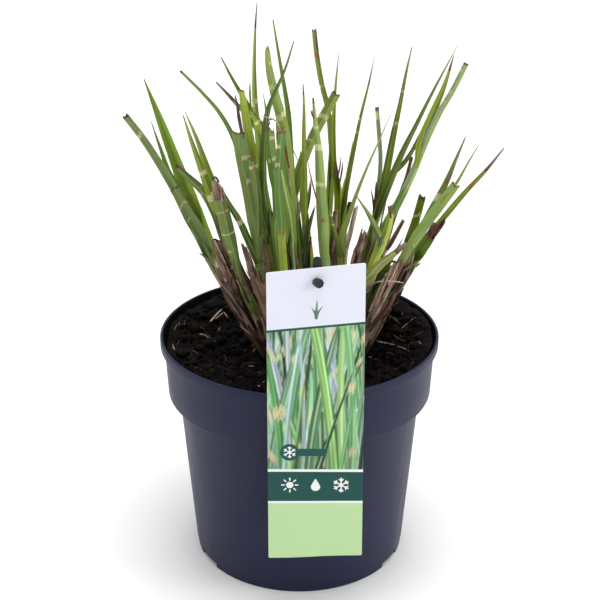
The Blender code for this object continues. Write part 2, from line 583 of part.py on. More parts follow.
def make_soil(material):
    """The root ball: it fills the pot to a little under the lip, with a slot for the stake."""
    inner = POT_WALL_MM + GAP
    profile = [(0, POT_FLOOR_MM + GAP), (body_radius(POT_FLOOR_MM) - inner - 3.2, POT_FLOOR_MM + GAP),
               (body_radius(COLLAR_BOTTOM_MM - 4) - inner - 0.2, COLLAR_BOTTOM_MM - 4),
               (body_radius(COLLAR_BOTTOM_MM) - inner, COLLAR_BOTTOM_MM + 2.4),
               (collar_radius(COLLAR_BOTTOM_MM + 4) - inner - 0.4, COLLAR_BOTTOM_MM + 3.4),
               (collar_radius(SOIL_TOP_MM - 3) - inner - 0.4, SOIL_TOP_MM - 3),
               (84, SOIL_TOP_MM), (66, SOIL_TOP_MM), (CROWN_FLAT_RADIUS_MM, SOIL_TOP_MM), (0, SOIL_TOP_MM)]
    soil = turned("soil", profile, material, 32)
    for vertex in soil.data.vertices:
        if vertex.co.z > (SOIL_TOP_MM - 0.1) * MM:
            vertex.co.z = soil_height(vertex.co.x / MM, vertex.co.y / MM) * MM
    path = stake_path()
    path[0, 2] -= 2 * GAP
    slot = strip("slot", path[:STAKE_RINGS // 2], STAKE_WIDTH_MM + 2 * GAP, STAKE_THICKNESS_MM + 2 * GAP,
                 material)
    combine(soil, [slot], "DIFFERENCE")
    return soil


def stake_path():
    """The stake's middle line: down the card's back, over the rim and into the soil."""
    return smooth_path(np.array(STAKE_PATH_MM), STAKE_RINGS)


def strip(name, path, wide, thick, material):
    """A flat bar along a path in the plane of x and z, facing -Y."""
    corners = [(-0.5, -0.5), (0.5, -0.5), (0.5, 0.5), (-0.5, 0.5)]
    points = [point + np.array([wide * across, thick * deep, 0]) for point in path for across, deep in corners]
    faces = [[0, 1, 2, 3], [4 * len(path) - 4 + k for k in range(4)]]
    for ring in range(len(path) - 1):
        for k in range(4):
            faces.append([4 * ring + k, 4 * ring + (k + 1) % 4, 4 * ring + 4 + (k + 1) % 4, 4 * ring + 4 + k])
    return solid(name, np.array(points), faces, material)


def card_point(across, down):
    """A point of the card's middle sheet, given as shares of its width and height."""
    corner = {name: np.array(place) for name, place in CARD_CORNERS_MM.items()}
    top = corner["top_left"] * (1 - across) + corner["top_right"] * across
    bottom = corner["bottom_left"] * (1 - across) + corner["bottom_right"] * across
    return top * (1 - down) + bottom * down


def card_normal():
    """The card's direction away from the pot, at its hole."""
    across = card_point(1, CARD_HOLE[1]) - card_point(0, CARD_HOLE[1])
    down = card_point(0.5, 0.2) - card_point(0.5, 0)
    normal = np.cross(across, -down)
    normal /= np.linalg.norm(normal)
    return normal if normal[1] < 0 else -normal


def pin(name, start, direction, radius, length, material, sides=16):
    """A short cylinder from start along direction, in mm."""
    work = bmesh.new()
    bmesh.ops.create_cone(work, cap_ends=True, segments=sides, radius1=radius * MM, radius2=radius * MM,
                          depth=length * MM)
    way = Vector(direction).normalized()
    matrix = way.to_track_quat("Z", "Y").to_matrix().to_4x4()
    matrix.translation = (Vector(start) + way * length / 2) * MM
    bmesh.ops.transform(work, matrix=matrix, verts=work.verts)
    mesh = bpy.data.meshes.new(name)
    work.to_mesh(mesh)
    work.free()
    return link(name, mesh, material)


def make_card(material):
    """The thin printed card: a slightly twisted sheet with cut corners and a hole at its top."""
    cut = CARD_CORNER_CUT
    low = cut * 0.3
    rows = np.linspace(low, 1 - low, CARD_ROWS)
    shares = [(cut, 0.0), (1 - cut, 0.0)]
    for down in rows:
        shares += [(0.0, down), (1.0, down)]
    shares += [(cut, 1.0), (1 - cut, 1.0)]
    sheet = np.array([card_point(across, down) for across, down in shares])
    normal = card_normal() * CARD_THICKNESS_MM / 2
    count = len(sheet)
    points = np.vstack([sheet + normal, sheet - normal])
    faces = []
    for row in range(count // 2 - 1):
        left, right = 2 * row, 2 * row + 1
        faces.append([left, left + 2, right + 2, right])
        faces.append([count + left, count + right, count + right + 2, count + left + 2])
        faces.append([left, count + left, count + left + 2, left + 2])
        faces.append([right, right + 2, count + right + 2, count + right])
    faces.append([0, 1, count + 1, count])
    faces.append([count - 2, 2 * count - 2, 2 * count - 1, count - 1])
    card = solid("card", points, faces, material)
    hole = pin("hole", card_point(*CARD_HOLE) - normal * 20, card_normal(), CARD_HOLE_RADIUS_MM, 10, material)
    combine(card, [hole], "DIFFERENCE")
    return card


def make_stake(material):
    """The dark stake behind the card, with the peg that holds the card on it."""
    stake = strip("card_stake", stake_path(), STAKE_WIDTH_MM, STAKE_THICKNESS_MM, material)
    hole = card_point(*CARD_HOLE)
    out = card_normal()
    front = hole + out * (CARD_THICKNESS_MM / 2 + GAP)
    neck_start = hole - out * 2.6
    neck = pin("neck", neck_start, out, PEG_NECK_RADIUS_MM, 2.6 + CARD_THICKNESS_MM + GAP + 0.4, material, 12)
    head = pin("head", front, out, PEG_HEAD_RADIUS_MM, PEG_HEAD_MM, material, 16)
    combine(stake, [neck, head], "UNION")
    return stake


def make_shoot(name, row, shift, material):
    """One shoot: its main leaf with the side leaves united to it."""
    trunk = main_path(row, shift, 60)
    pieces = []
    for index, side in enumerate(row["leaves"]):
        if index == 0:
            path = main_path(row, shift, MAIN_RINGS if len(side["seen"]) > 3 else MAIN_RINGS - 3)
        else:
            path = side_path(row, side, trunk, shift, SIDE_RINGS)
        half, depth, rise = widths(row, side, path, index == 0)
        points, faces = loft(path, half, depth, rise, side["turn"], 6 if index == 0 else 4)
        pieces.append(solid(name if index == 0 else "side", points, faces, material))
    if len(pieces) > 1:
        combine(pieces[0], pieces[1:], "UNION")
    return pieces[0]


def finish_mesh(item):
    """Triangles, smooth shading with sharp edges kept."""
    work = bmesh.new()
    work.from_mesh(item.data)
    bmesh.ops.dissolve_degenerate(work, edges=work.edges, dist=1e-6)
    bmesh.ops.triangulate(work, faces=work.faces)
    work.to_mesh(item.data)
    work.free()
    item.data.shade_smooth()
    item.data.set_sharp_from_angle(angle=math.radians(40))


def main():
    for item in list(bpy.data.objects):
        bpy.data.objects.remove(item)
    moulded = plastic("moulded polypropylene", (0.045, 0.050, 0.080), 0.42)
    peat = plastic("peat soil", (0.012, 0.008, 0.006), 0.95)
    card_stock = plastic("printed card", (0.80, 0.82, 0.90), 0.40)
    black = plastic("black polypropylene", (0.020, 0.022, 0.028), 0.45)
    green = plastic("green leaf", (0.12, 0.26, 0.05), 0.55)
    straw = plastic("dry sheath", (0.33, 0.24, 0.16), 0.80)
    items = [make_pot(moulded), make_soil(peat), make_card(card_stock), make_stake(black)]
    rows = SHOOTS + CUT_STEMS
    for row, foot in zip(rows, plant_feet(rows)):
        row["foot"] = tuple(foot)
    shifts = spread_apart(rows)
    for index, row in enumerate(SHOOTS):
        items.append(make_shoot(f"shoot_{index + 1:02d}", row, shifts[index], green))
    for index, row in enumerate(CUT_STEMS):
        shift = shifts[len(SHOOTS) + index]
        items.append(make_shoot(f"cut_stem_{index + 1:02d}", row, shift, straw))
    for item in items:
        finish_mesh(item)
    print("objects", len(items), "triangles", sum(len(item.data.polygons) for item in items))
    print("largest depth shifts, mm", np.abs(shifts).max(axis=0))


main()
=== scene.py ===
# %% [markdown]
# # A young zebra grass clump in its nursery pot
#
# The measured model says where every piece stands. This lesson gives each piece its fine shape and its
# finish: turned plastic, loose peat, banded leaf blades, dry sheaths and a printed card on a stake.

# %% Load the measured model
import math

import bmesh
import bpy
import numpy as np
from mathutils import Matrix, Vector


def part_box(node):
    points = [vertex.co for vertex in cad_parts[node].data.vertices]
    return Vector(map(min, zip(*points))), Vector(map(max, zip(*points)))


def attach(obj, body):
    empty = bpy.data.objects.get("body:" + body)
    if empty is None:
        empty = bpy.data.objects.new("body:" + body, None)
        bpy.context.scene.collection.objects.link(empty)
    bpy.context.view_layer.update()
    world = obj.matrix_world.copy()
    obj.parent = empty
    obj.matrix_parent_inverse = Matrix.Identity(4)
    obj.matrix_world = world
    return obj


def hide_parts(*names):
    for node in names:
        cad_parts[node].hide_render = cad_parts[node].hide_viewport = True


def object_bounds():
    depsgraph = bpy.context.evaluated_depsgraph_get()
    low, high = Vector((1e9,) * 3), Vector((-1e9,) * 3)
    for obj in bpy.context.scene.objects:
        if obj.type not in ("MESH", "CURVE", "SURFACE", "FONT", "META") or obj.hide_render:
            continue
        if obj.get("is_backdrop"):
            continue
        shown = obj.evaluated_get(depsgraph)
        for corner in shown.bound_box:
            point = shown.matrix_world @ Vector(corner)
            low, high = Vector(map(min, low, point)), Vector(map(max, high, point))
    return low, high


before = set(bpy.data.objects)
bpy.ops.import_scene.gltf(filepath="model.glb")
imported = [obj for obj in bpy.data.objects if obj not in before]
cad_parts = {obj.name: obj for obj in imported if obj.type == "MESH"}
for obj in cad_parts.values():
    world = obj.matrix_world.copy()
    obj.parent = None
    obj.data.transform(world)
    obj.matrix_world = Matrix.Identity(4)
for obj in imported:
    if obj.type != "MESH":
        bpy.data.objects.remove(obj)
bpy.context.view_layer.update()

# %% [markdown]
# ## The camera comes first
#
# The ellipses of the pot's lip and base give one pinhole: its focal length, its tilt and where it stands.
# The same numbers work backwards: a place in the picture and a depth make a point of the clump, so the
# leaves can be laid where they are seen. Working in millimetres keeps every value easy to picture.

# %% The view, both ways
MM = 0.001
FOCAL_PX = 1413.5
CENTRE_PX = (299.4, 300.0)
FRAME_PX = 600
TILT = math.radians(24.14)
BACK_MM, UP_MM = 873.9, 577.5
SENSOR_MM = 36


def show(name, data):
    """A new object in the scene, at the origin."""
    item = bpy.data.objects.new(name, data)
    bpy.context.scene.collection.objects.link(item)
    return item


def lift(seen_px, depth_y):
    """Points in mm on the view's rays at depth y: the run along the ray that reaches that depth."""
    across = (seen_px[..., 0] - CENTRE_PX[0]) / FOCAL_PX
    up = (CENTRE_PX[1] - seen_px[..., 1]) / FOCAL_PX
    run = (depth_y + BACK_MM) / (math.cos(TILT) + up * math.sin(TILT))
    height = UP_MM + run * (up * math.cos(TILT) - math.sin(TILT))
    return np.stack([run * across, depth_y + 0 * run, height], -1)


def see(points):
    """Places in the picture of points in mm: turn by the tilt, then divide by the distance."""
    back, down = points[..., 1] + BACK_MM, points[..., 2] - UP_MM
    scale = FOCAL_PX / (back * math.cos(TILT) - down * math.sin(TILT))
    return np.stack([CENTRE_PX[0] + scale * points[..., 0],
                     CENTRE_PX[1] - scale * (back * math.sin(TILT) + down * math.cos(TILT))], -1)


camera = show("camera", bpy.data.cameras.new("camera"))
camera.location = (0, -BACK_MM * MM, UP_MM * MM)
camera.rotation_euler = (math.pi / 2 - TILT, 0, 0)
camera.data.sensor_width = SENSOR_MM
camera.data.lens = FOCAL_PX / FRAME_PX * SENSOR_MM
camera.data.shift_x = 0.5 - CENTRE_PX[0] / FRAME_PX
bpy.context.scene.camera = camera
print("camera lens, mm:", round(camera.data.lens, 1))

# %% [markdown]
# ## A small kit for surfaces
#
# Every new piece is a grid of points: rows along it and columns round it. One function joins such a grid
# into a closed skin, one puts many skins into a mesh, and both work on whole arrays. A skin carries its
# layers with it: numbers for each point that the materials read later.

# %% A closed skin over a grid
def skin(grid, cap="fan", slot=0, **layers):
    """A closed surface over a grid (rows, columns, 3): quads between rows, the columns joined round.
    A fan cap meets in a middle point. A strip cap joins the ring's first half to its second half."""
    rows, columns = grid.shape[:2]
    ring, last, count = np.arange(columns), (rows - 1) * columns, rows * columns
    turn = (ring + 1) % columns
    row = columns * np.arange(rows - 1)[:, None]
    quads = np.stack([row + ring, row + turn, row + turn + columns, row + ring + columns], -1).reshape(-1, 4)
    points, tris = grid.reshape(-1, 3), np.zeros((0, 3), int)
    data = {name: value.reshape(count, -1) for name, value in layers.items()}

    def capped(value):
        return np.vstack([value, value[:columns].mean(axis=0), value[last:].mean(axis=0)])

    if cap == "strip":
        low = np.arange(columns // 2 - 1)
        lid = np.stack([low, columns - 1 - low, columns - 2 - low, low + 1], -1)
        quads = np.vstack([quads, lid, lid[:, ::-1] + last])
    else:
        tris = np.vstack([np.stack([turn, ring, 0 * ring + count], -1),
                          np.stack([ring + last, turn + last, 0 * ring + count + 1], -1)])
        points, data = capped(points), {name: capped(value) for name, value in data.items()}
    a, b, c, d = np.moveaxis(points[quads] - points.mean(axis=0), 1, 0)
    if (a * (np.cross(b, c) + np.cross(c, d))).sum() < 0:
        quads, tris = quads[:, ::-1], tris[:, ::-1]
    return dict(points=points, quads=quads, tris=tris, slot=slot, layers=data)


print("a box of 2 rows and 4 columns has", len(skin(np.zeros((2, 4, 3)), "strip")["quads"]), "faces")

# %% One piece from many skins
def set_layer(mesh, name, values):
    """Three numbers for each point of a mesh, which a material can read by their name."""
    layer = mesh.attributes.new(name, "FLOAT_VECTOR", "POINT")
    layer.data.foreach_set("vector", values.astype(np.float32).ravel())


def make_piece(name, skins, materials, sharp_angle=None):
    """One object at the origin from closed skins, with their layers as point attributes."""
    starts = np.cumsum([0] + [len(part["points"]) for part in skins])
    points = np.vstack([part["points"] for part in skins])
    kinds = ("quads", "tris")
    quads, tris = (np.vstack([part[kind] + start for part, start in zip(skins, starts)]) for kind in kinds)
    slots = np.concatenate([np.full(len(part[kind]), part["slot"]) for kind in kinds for part in skins])
    sizes = np.r_[np.full(len(quads), 4), np.full(len(tris), 3)]
    corners = np.r_[quads.ravel(), tris.ravel()]
    mesh = bpy.data.meshes.new(name)
    mesh.vertices.add(len(points))
    mesh.loops.add(len(corners))
    mesh.polygons.add(len(sizes))
    mesh.vertices.foreach_set("co", (points * MM).astype(np.float32).ravel())
    mesh.loops.foreach_set("vertex_index", corners.astype(np.int32))
    mesh.polygons.foreach_set("loop_start", np.r_[0, np.cumsum(sizes)[:-1]].astype(np.int32))
    mesh.polygons.foreach_set("material_index", slots.astype(np.int32))
    mesh.update(calc_edges=True)
    for layer in skins[0]["layers"]:
        set_layer(mesh, layer, np.vstack([part["layers"][layer] for part in skins]))
    mesh.shade_smooth()
    if sharp_angle:
        mesh.set_sharp_from_angle(angle=math.radians(sharp_angle))
    for material in materials:
        mesh.materials.append(material)
    item = show(name, mesh)
    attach(item, "root")
    return item


print("grids are in mm, meshes in metres: 1 mm is", MM)

# %% Paths, turns and smooth steps
def run_length(path):
    """Distance along a path to each of its points."""
    return np.r_[0, np.cumsum(np.linalg.norm(np.diff(path, axis=0), axis=1))]


def read(values, at, wanted):
    """Rows of values given at the distances at, read between them at the wanted distances."""
    return np.stack([np.interp(wanted, at, column) for column in values.T], -1)


def smooth_path(points, count):
    """An open Catmull-Rom curve through the points, read at even steps of its length."""
    padded = np.vstack([2 * points[0] - points[1], points, 2 * points[-1] - points[-2]])
    share = np.linspace(0, 1, 12, endpoint=False)[:, None]
    runs = [0.5 * (2 * start + (end - before) * share
                   + (2 * before - 5 * start + 4 * end - after) * share ** 2
                   + (3 * start - before - 3 * end + after) * share ** 3)
            for before, start, end, after in zip(padded, padded[1:], padded[2:], padded[3:])]
    curve = np.vstack(runs + [points[-1:]])
    dist = run_length(curve)
    return read(curve, dist, np.linspace(0, dist[-1], count))


def unit(ways):
    """Directions made one long."""
    return ways / np.linalg.norm(ways, axis=-1, keepdims=True)


def turns(count):
    """Even angles round a full turn."""
    return np.linspace(0, 2 * math.pi, count, endpoint=False)


def turned(radii, heights, columns):
    """A profile turned about the axis: radius r and height h give (r cos a, r sin a, h) at each angle a."""
    angle = turns(columns)
    return np.stack([radii[:, None] * np.cos(angle), radii[:, None] * np.sin(angle),
                     heights[:, None] + 0 * angle], -1)


def ease(value):
    """0 below 0, 1 above 1, and a smooth step between."""
    value = np.clip(value, 0, 1)
    return value * value * (3 - 2 * value)


print("kit ready; ease(0.25) is", float(ease(0.25)))

# %% [markdown]
# ## The pot
#
# A 3 litre nursery pot is injection moulded polypropylene: a tapered body, a stepped collar and a rolled
# lip. It could be a modifier stack, but its section is so clear that turning a profile is simplest: each
# corner is rounded first, then the profile is swept round the axis. Drain holes and the notches at the
# base edge are cut afterwards, as the mould's pins leave them.

# %% The pot's section, turned
POT_TOP = 1000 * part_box("pot")[1].z
LIP_RADIUS = 1000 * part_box("pot")[1].x
BASE_RADIUS, TAPER = 73.7, 0.0797
WALL, FLOOR = 1.3, 1.8
BAND_TOP, COLLAR_BOTTOM, LIP_BOTTOM = 6.0, 121.4, 156.0
COLLAR_LOW_RADIUS, COLLAR_HIGH_RADIUS = 90.5, 92.3
POT_COLUMNS = 192


def body_radius(height):
    """The outer radius of the tapered body."""
    return BASE_RADIUS + TAPER * height


def rounded(corners, steps=5):
    """A profile of corners (radius, height, rounding): each becomes a quadratic curve that starts and ends
    its rounding away."""
    points = corners[:, :2]
    run = [points[:1]]
    share = np.linspace(0, 1, steps)[:, None]
    for before, corner, after, radius in zip(points, points[1:], points[2:], corners[1:, 2]):
        start, end = (corner + side * min(radius, 0.45 * np.linalg.norm(side)) / np.linalg.norm(side)
                      for side in (before - corner, after - corner))
        run.append(start * (1 - share) ** 2 + 2 * corner * share * (1 - share) + end * share ** 2)
    return np.vstack(run + [points[-1:]])


section = rounded(np.array([
    (0.6, 0.9, 0), (4.0, 0.9, 0.3), (4.6, 0, 0.3), (60, 0, 0.3), (60.6, 0.5, 0.3), (62.4, 0.5, 0.3),
    (63, 0, 0.3), (BASE_RADIUS - 0.4, 0, 0.9), (body_radius(BAND_TOP) - 0.4, BAND_TOP, 0.2),
    (body_radius(BAND_TOP), BAND_TOP + 0.4, 0.2), (body_radius(60), 60, 1),
    (body_radius(COLLAR_BOTTOM), COLLAR_BOTTOM, 1.2), (COLLAR_LOW_RADIUS, COLLAR_BOTTOM, 1.2),
    (91.4, 138.7, 1), (COLLAR_HIGH_RADIUS, LIP_BOTTOM, 0.8), (LIP_RADIUS, LIP_BOTTOM + 0.3, 1.0),
    (LIP_RADIUS, POT_TOP, 1.1), (LIP_RADIUS - 1.8, POT_TOP, 0.8), (LIP_RADIUS - 2.2, POT_TOP - 3, 1.5),
    (COLLAR_HIGH_RADIUS - WALL, LIP_BOTTOM - 4, 2), (COLLAR_LOW_RADIUS - WALL, COLLAR_BOTTOM + WALL, 1),
    (body_radius(COLLAR_BOTTOM) - WALL, COLLAR_BOTTOM, 1), (body_radius(FLOOR) - WALL - 1, FLOOR, 2),
    (0.6, FLOOR, 0)], float))
print("pot section:", len(section), "points, lip radius", round(LIP_RADIUS, 1), "mm")

# %% [markdown]
# ## Colours and nodes
#
# Colours are written as on a screen, and one function turns them to the linear light that shaders use.
# One more adds any node with its settings and links, so a material reads from top to bottom.

# %% Colours and nodes
def linear(code):
    """A colour written as sRGB hex, as linear red, green and blue."""
    share = np.array([int(code[k:k + 2], 16) for k in (1, 3, 5)]) / 255
    return np.where(share <= 0.04045, share / 12.92, ((share + 0.055) / 1.055) ** 2.4)


def rgba(code):
    """The same colour with full cover, as a socket wants it."""
    return (*linear(code), 1.0)


def add(kind, values=(), out=0, **settings):
    """A new node in the tree at hand: settings are its own properties, and each value goes to a socket, by
    name or in order, as a link, a number or a colour. Gives an output, or the node if out is None."""
    node = tree.nodes.new("ShaderNode" + kind)
    for name, setting in settings.items():
        setattr(node, name, setting)
    for socket, value in values.items() if isinstance(values, dict) else enumerate(values):
        if isinstance(value, bpy.types.NodeSocket):
            tree.links.new(value, node.inputs[socket])
        else:
            node.inputs[socket].default_value = rgba(value) if isinstance(value, str) else value
    return node if out is None else node.outputs[out]


def set_stops(ramp, *stops):
    """Gives a colour ramp its stops, each a place and a colour, in order."""
    elements = ramp.color_ramp.elements
    elements.remove(elements[1])
    for index, (position, colour) in enumerate(stops):
        stop = elements.new(position) if index else elements[0]
        stop.position, stop.color = position, rgba(colour)


def begin(name, **sockets):
    """A material with its Principled shader, whose constant values are set on the shader itself."""
    material = bpy.data.materials.new(name)
    material.use_nodes = True
    shader = material.node_tree.nodes["Principled BSDF"]
    for socket, value in sockets.items():
        shader.inputs[socket.replace("_", " ")].default_value = value
    return material, material.node_tree, shader


def wire(**ends):
    """Links outputs to the sockets of the shader at hand."""
    for socket, value in ends.items():
        tree.links.new(value, shader.inputs[socket.replace("_", " ")])


print("mid grey in linear light:", round(float(linear("#808080")[0]), 3))

# %% [markdown]
# Moulded polypropylene is satin and slightly waxy: soft highlights, a fine mould grain, faint flow lines
# that run down the wall, and a little dust. The edges look lighter because they mirror the bright room.
# The inner wall is painted nearly black: a painted shade for the shade that falls inside the pot.

# %% Moulded polypropylene
# Flow lines are 11 mm apart and 140 mm long, dust lies in specks 2.4 mm apart, and the grain is 0.7 mm.
plastic, tree, shader = begin("moulded polypropylene", Roughness=0.46, IOR=1.49, Specular_IOR_Level=0.17)
place = add("TexCoord", out="Object")
flow = add("Mapping", {"Vector": place, "Scale": (90, 90, 7)})
flow = add("TexNoise", {"Vector": flow, "Scale": 1.0, "Detail": 3.0})
dust = add("TexNoise", {"Vector": place, "Scale": 420.0, "Detail": 5.0, "Roughness": 0.7})
dust = add("MapRange", (dust, 0.55, 0.85, 0.0, 0.15))
# Painted shade: faces of the wall that look inward are mixed to near black.
inward = add("VectorMath", (add("NewGeometry", out="Normal"), place), "Value", operation="DOT_PRODUCT")
inward = add("MapRange", (inward, -0.04, 0.0, 0.97, 0.0))
shade = add("Mix", {0: flow, 6: "#1e223a", 7: "#252a44"}, 2, data_type="RGBA")
for cover, colour in ((dust, "#3b4052"), (inward, "#060608")):
    shade = add("Mix", {0: cover, 6: shade, 7: colour}, 2, data_type="RGBA")
rough = add("MapRange", (flow, 0.3, 0.7, 0.4, 0.5))
grain = add("TexNoise", {"Vector": place, "Scale": 1400.0, "Detail": 2.0})
wire(Base_Color=shade, Roughness=rough,
     Normal=add("Bump", {"Strength": 0.25, "Distance": 0.0001, "Height": grain}))
print("polypropylene:", len(tree.nodes), "nodes")

# %% Cut the drain holes and notches
DRAIN_HOLES, DRAIN_RING, DRAIN_RADIUS = 6, 50.0, 4.5
NOTCHES = (60.5, 180.0, 299.5)
NOTCH_SIZE = (15.0, 21.0, 5.6)
NOTCH_DEPTH, NOTCH_MIDDLE = 5, 0.8


def cutter(make, place_mm, turn, **shape):
    """A shape for a cut, placed in millimetres, that is never shown."""
    work = bmesh.new()
    make(work, **shape)
    item = show("cutter", bpy.data.meshes.new("cutter"))
    work.to_mesh(item.data)
    work.free()
    item.location = Vector(place_mm) * MM
    item.rotation_euler = turn
    return item


def drill(place_mm, radius, depth, turn=(0, 0, 0)):
    """A round cutter."""
    return cutter(bmesh.ops.create_cone, place_mm, turn, cap_ends=True, segments=40, radius1=radius * MM,
                  radius2=radius * MM, depth=depth * MM)


def cut(item, cutters):
    """Takes the cutters out of the item for good, and removes them."""
    for shape in cutters:
        change = item.modifiers.new("cut", "BOOLEAN")
        change.operation = "DIFFERENCE"
        change.object = shape
    mesh = bpy.data.meshes.new_from_object(item.evaluated_get(bpy.context.evaluated_depsgraph_get()))
    item.modifiers.clear()
    item.data = mesh
    for shape in cutters:
        bpy.data.objects.remove(shape)


pot = make_piece("moulded_pot", [skin(turned(section[:, 0], section[:, 1], POT_COLUMNS))], [plastic])
cutters = [drill((DRAIN_RING * math.cos(around), DRAIN_RING * math.sin(around), 0), DRAIN_RADIUS, 12)
           for around in turns(DRAIN_HOLES)]
for degrees in NOTCHES:
    around = math.radians(degrees - 90)
    reach = BASE_RADIUS + NOTCH_SIZE[0] / 2 - NOTCH_DEPTH
    box = cutter(bmesh.ops.create_cube, (reach * math.cos(around), reach * math.sin(around), NOTCH_MIDDLE),
                 (0, 0, around), size=1.0)
    box.data.transform(Matrix.Diagonal((*(side * MM for side in NOTCH_SIZE), 1)))
    cutters.append(box)
cut(pot, cutters)
pot.data.set_sharp_from_angle(angle=math.radians(50))
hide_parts("pot")
print("pot:", len(pot.data.polygons), "faces")

# %% [markdown]
# ## The potting soil
#
# Peat soil is a dark, crumbly mix. A flat disc with bump would look painted, so the surface is moved for
# real: a polar grid whose height adds up several sizes of lumps. Loose crumbs and fibres come on top.

# %% The root ball
SOIL_TOP, SOIL_GAP = 149.5, 0.35
FLAT_RADIUS = 49.0
BANK_MM, BANK_START, BANK_WIDE = 8.2, 52, 37
SOIL_COLUMNS, SOIL_RINGS = 420, 96
LATTICE = 64


def lumps(x, y, cell, seed):
    """Smooth random heights from -1 to 1: random values on a square lattice, eased between corners."""
    table = np.random.default_rng(seed).uniform(-1, 1, (LATTICE, LATTICE))
    column, row = np.floor(x / cell).astype(int), np.floor(y / cell).astype(int)
    u, v = ease(x / cell - column), ease(y / cell - row)
    low, high = (table[row_here % LATTICE, column % LATTICE] * (1 - u)
                 + table[row_here % LATTICE, (column + 1) % LATTICE] * u for row_here in (row, row + 1))
    return low * (1 - v) + high * v


def soil_height(x, y):
    """Height of the soil in mm: flat under the crown, banked against the wall, with lumps of three sizes."""
    reach = np.hypot(x, y)
    loose = np.clip((reach - FLAT_RADIUS) / 14, 0, 1)
    edge = ease((reach - BANK_START) / BANK_WIDE)
    base = 1.3 * np.sin(x / 9 + 1.7) * np.cos(y / 7.5) + 5.5 * np.maximum(-x, 0) / 90 - 1.0
    bank = BANK_MM * edge * (1 + 0.8 * (0.75 * x + 0.66 * y) / 89)
    fine = 2.0 * lumps(x, y, 10.5, 3) + 1.8 * lumps(x, y, 4.7, 4) + 1.2 * lumps(x, y, 2.1, 5)
    height = SOIL_TOP + loose * base + bank + (0.35 + 0.65 * loose - 0.4 * edge) * fine - 0.4
    return np.minimum(height, POT_TOP - 0.8)


def inner_radius(height):
    """The pot's inner radius at a height on its collar, less a gap."""
    share = (height - COLLAR_BOTTOM) / (LIP_BOTTOM - COLLAR_BOTTOM)
    return COLLAR_LOW_RADIUS + (COLLAR_HIGH_RADIUS - COLLAR_LOW_RADIUS) * share - WALL - SOIL_GAP


ring_radius = np.r_[np.linspace(0.5, inner_radius(SOIL_TOP - 3), SOIL_RINGS), inner_radius(SOIL_TOP - 6),
                    inner_radius(COLLAR_BOTTOM + 5), body_radius(COLLAR_BOTTOM - 3) - WALL - SOIL_GAP,
                    body_radius(FLOOR) - WALL - 1.5, 0.5]
ring_height = np.r_[np.zeros(SOIL_RINGS), SOIL_TOP - 6, COLLAR_BOTTOM + 4.5, COLLAR_BOTTOM - 3,
                    FLOOR + SOIL_GAP, FLOOR + SOIL_GAP]
soil_grid = turned(ring_radius, ring_height, SOIL_COLUMNS)
top = soil_grid[:SOIL_RINGS]
top[..., 2] = soil_height(top[..., 0], top[..., 1])
rim = ring_radius[SOIL_RINGS - 1]
stretch = inner_radius(top[-1, :, 2]) / rim - 1
top[..., :2] *= 1 + stretch[:, None] * (ring_radius[:SOIL_RINGS, None, None] / rim) ** 6
print("soil top from", round(top[..., 2].min(), 1), "to", round(top[..., 2].max(), 1), "mm")

# %% Damp peat
# Damp peat is nearly black and matt. Its clods are about 4 mm wide, with darker specks 1.4 mm apart.
peat, tree, shader = begin("damp peat", Roughness=0.8, Specular_IOR_Level=0.08)
place = add("TexCoord", out="Object")
clods = add("TexNoise", {"Vector": place, "Scale": 260.0, "Detail": 6.0, "Roughness": 0.7})
specks = add("MapRange", (add("TexVoronoi", {"Vector": place, "Scale": 700.0}), 0.05, 0.25, 0.6, 0.0))
ramp = add("ValToRGB", [clods], None)
set_stops(ramp, (0.4, "#020101"), (0.8, "#1b1613"))
shade = add("Mix", {0: specks, 6: ramp.outputs[0], 7: "#0c0908"}, 2, data_type="RGBA")
wire(Base_Color=shade, Normal=add("Bump", {"Strength": 1.0, "Distance": 0.0006, "Height": clods}))
soil = make_piece("potting_soil", [skin(soil_grid)], [peat])
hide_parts("soil")
print("soil:", len(soil.data.polygons), "faces")

# %% [markdown]
# Crumbs are small dented balls. One ball is a grid of two angles, and one function makes all 1500: each is
# stretched, dented and turned by random numbers from one seed, so the result never changes.

# %% Crumbs on the soil
CRUMBS = 1500
CRUMB_SMALL, CRUMB_RANGE = 0.4, 0.9
CRUMB_RING = 88.0


def ball(rng, centre, size, flat):
    """A dented ball: a sphere of two angles, its radius moved by a few waves, flattened and turned."""
    polar, around = np.meshgrid(np.linspace(0.35, math.pi - 0.35, 5), turns(7), indexing="ij")
    phase = rng.uniform(0, 6, 4)
    radius = size * (1 + 0.22 * np.sin(2 * around + phase[0]) + 0.18 * np.cos(3 * polar + phase[1])
                     + 0.12 * np.sin(3 * around + 2 * polar + phase[2]))
    local = np.stack([radius * np.sin(polar) * np.cos(around) * rng.uniform(0.8, 1.5),
                      radius * np.sin(polar) * np.sin(around), radius * np.cos(polar) * flat], -1)
    cosine, sine = math.cos(phase[3]), math.sin(phase[3])
    return local @ np.array([[cosine, sine, 0], [-sine, cosine, 0], [0, 0, 1]]) + centre


rng = np.random.default_rng(11)
crumb_skins = []
for index in range(CRUMBS):
    radius = CRUMB_RING * math.sqrt(rng.uniform(0.12, 0.94))
    around = rng.uniform(0, 2 * math.pi)
    size = CRUMB_SMALL + CRUMB_RANGE * rng.uniform() ** 5 * 4
    radius = min(radius, CRUMB_RING - 0.5 - size)
    x, y = radius * math.cos(around), radius * math.sin(around)
    crumb_skins.append(skin(ball(rng, np.array([x, y, soil_height(x, y) + 0.25 * size]), size, 0.7)))
crumbs = make_piece("soil_crumbs", crumb_skins, [peat])
print("crumbs:", len(crumbs.data.polygons), "faces")

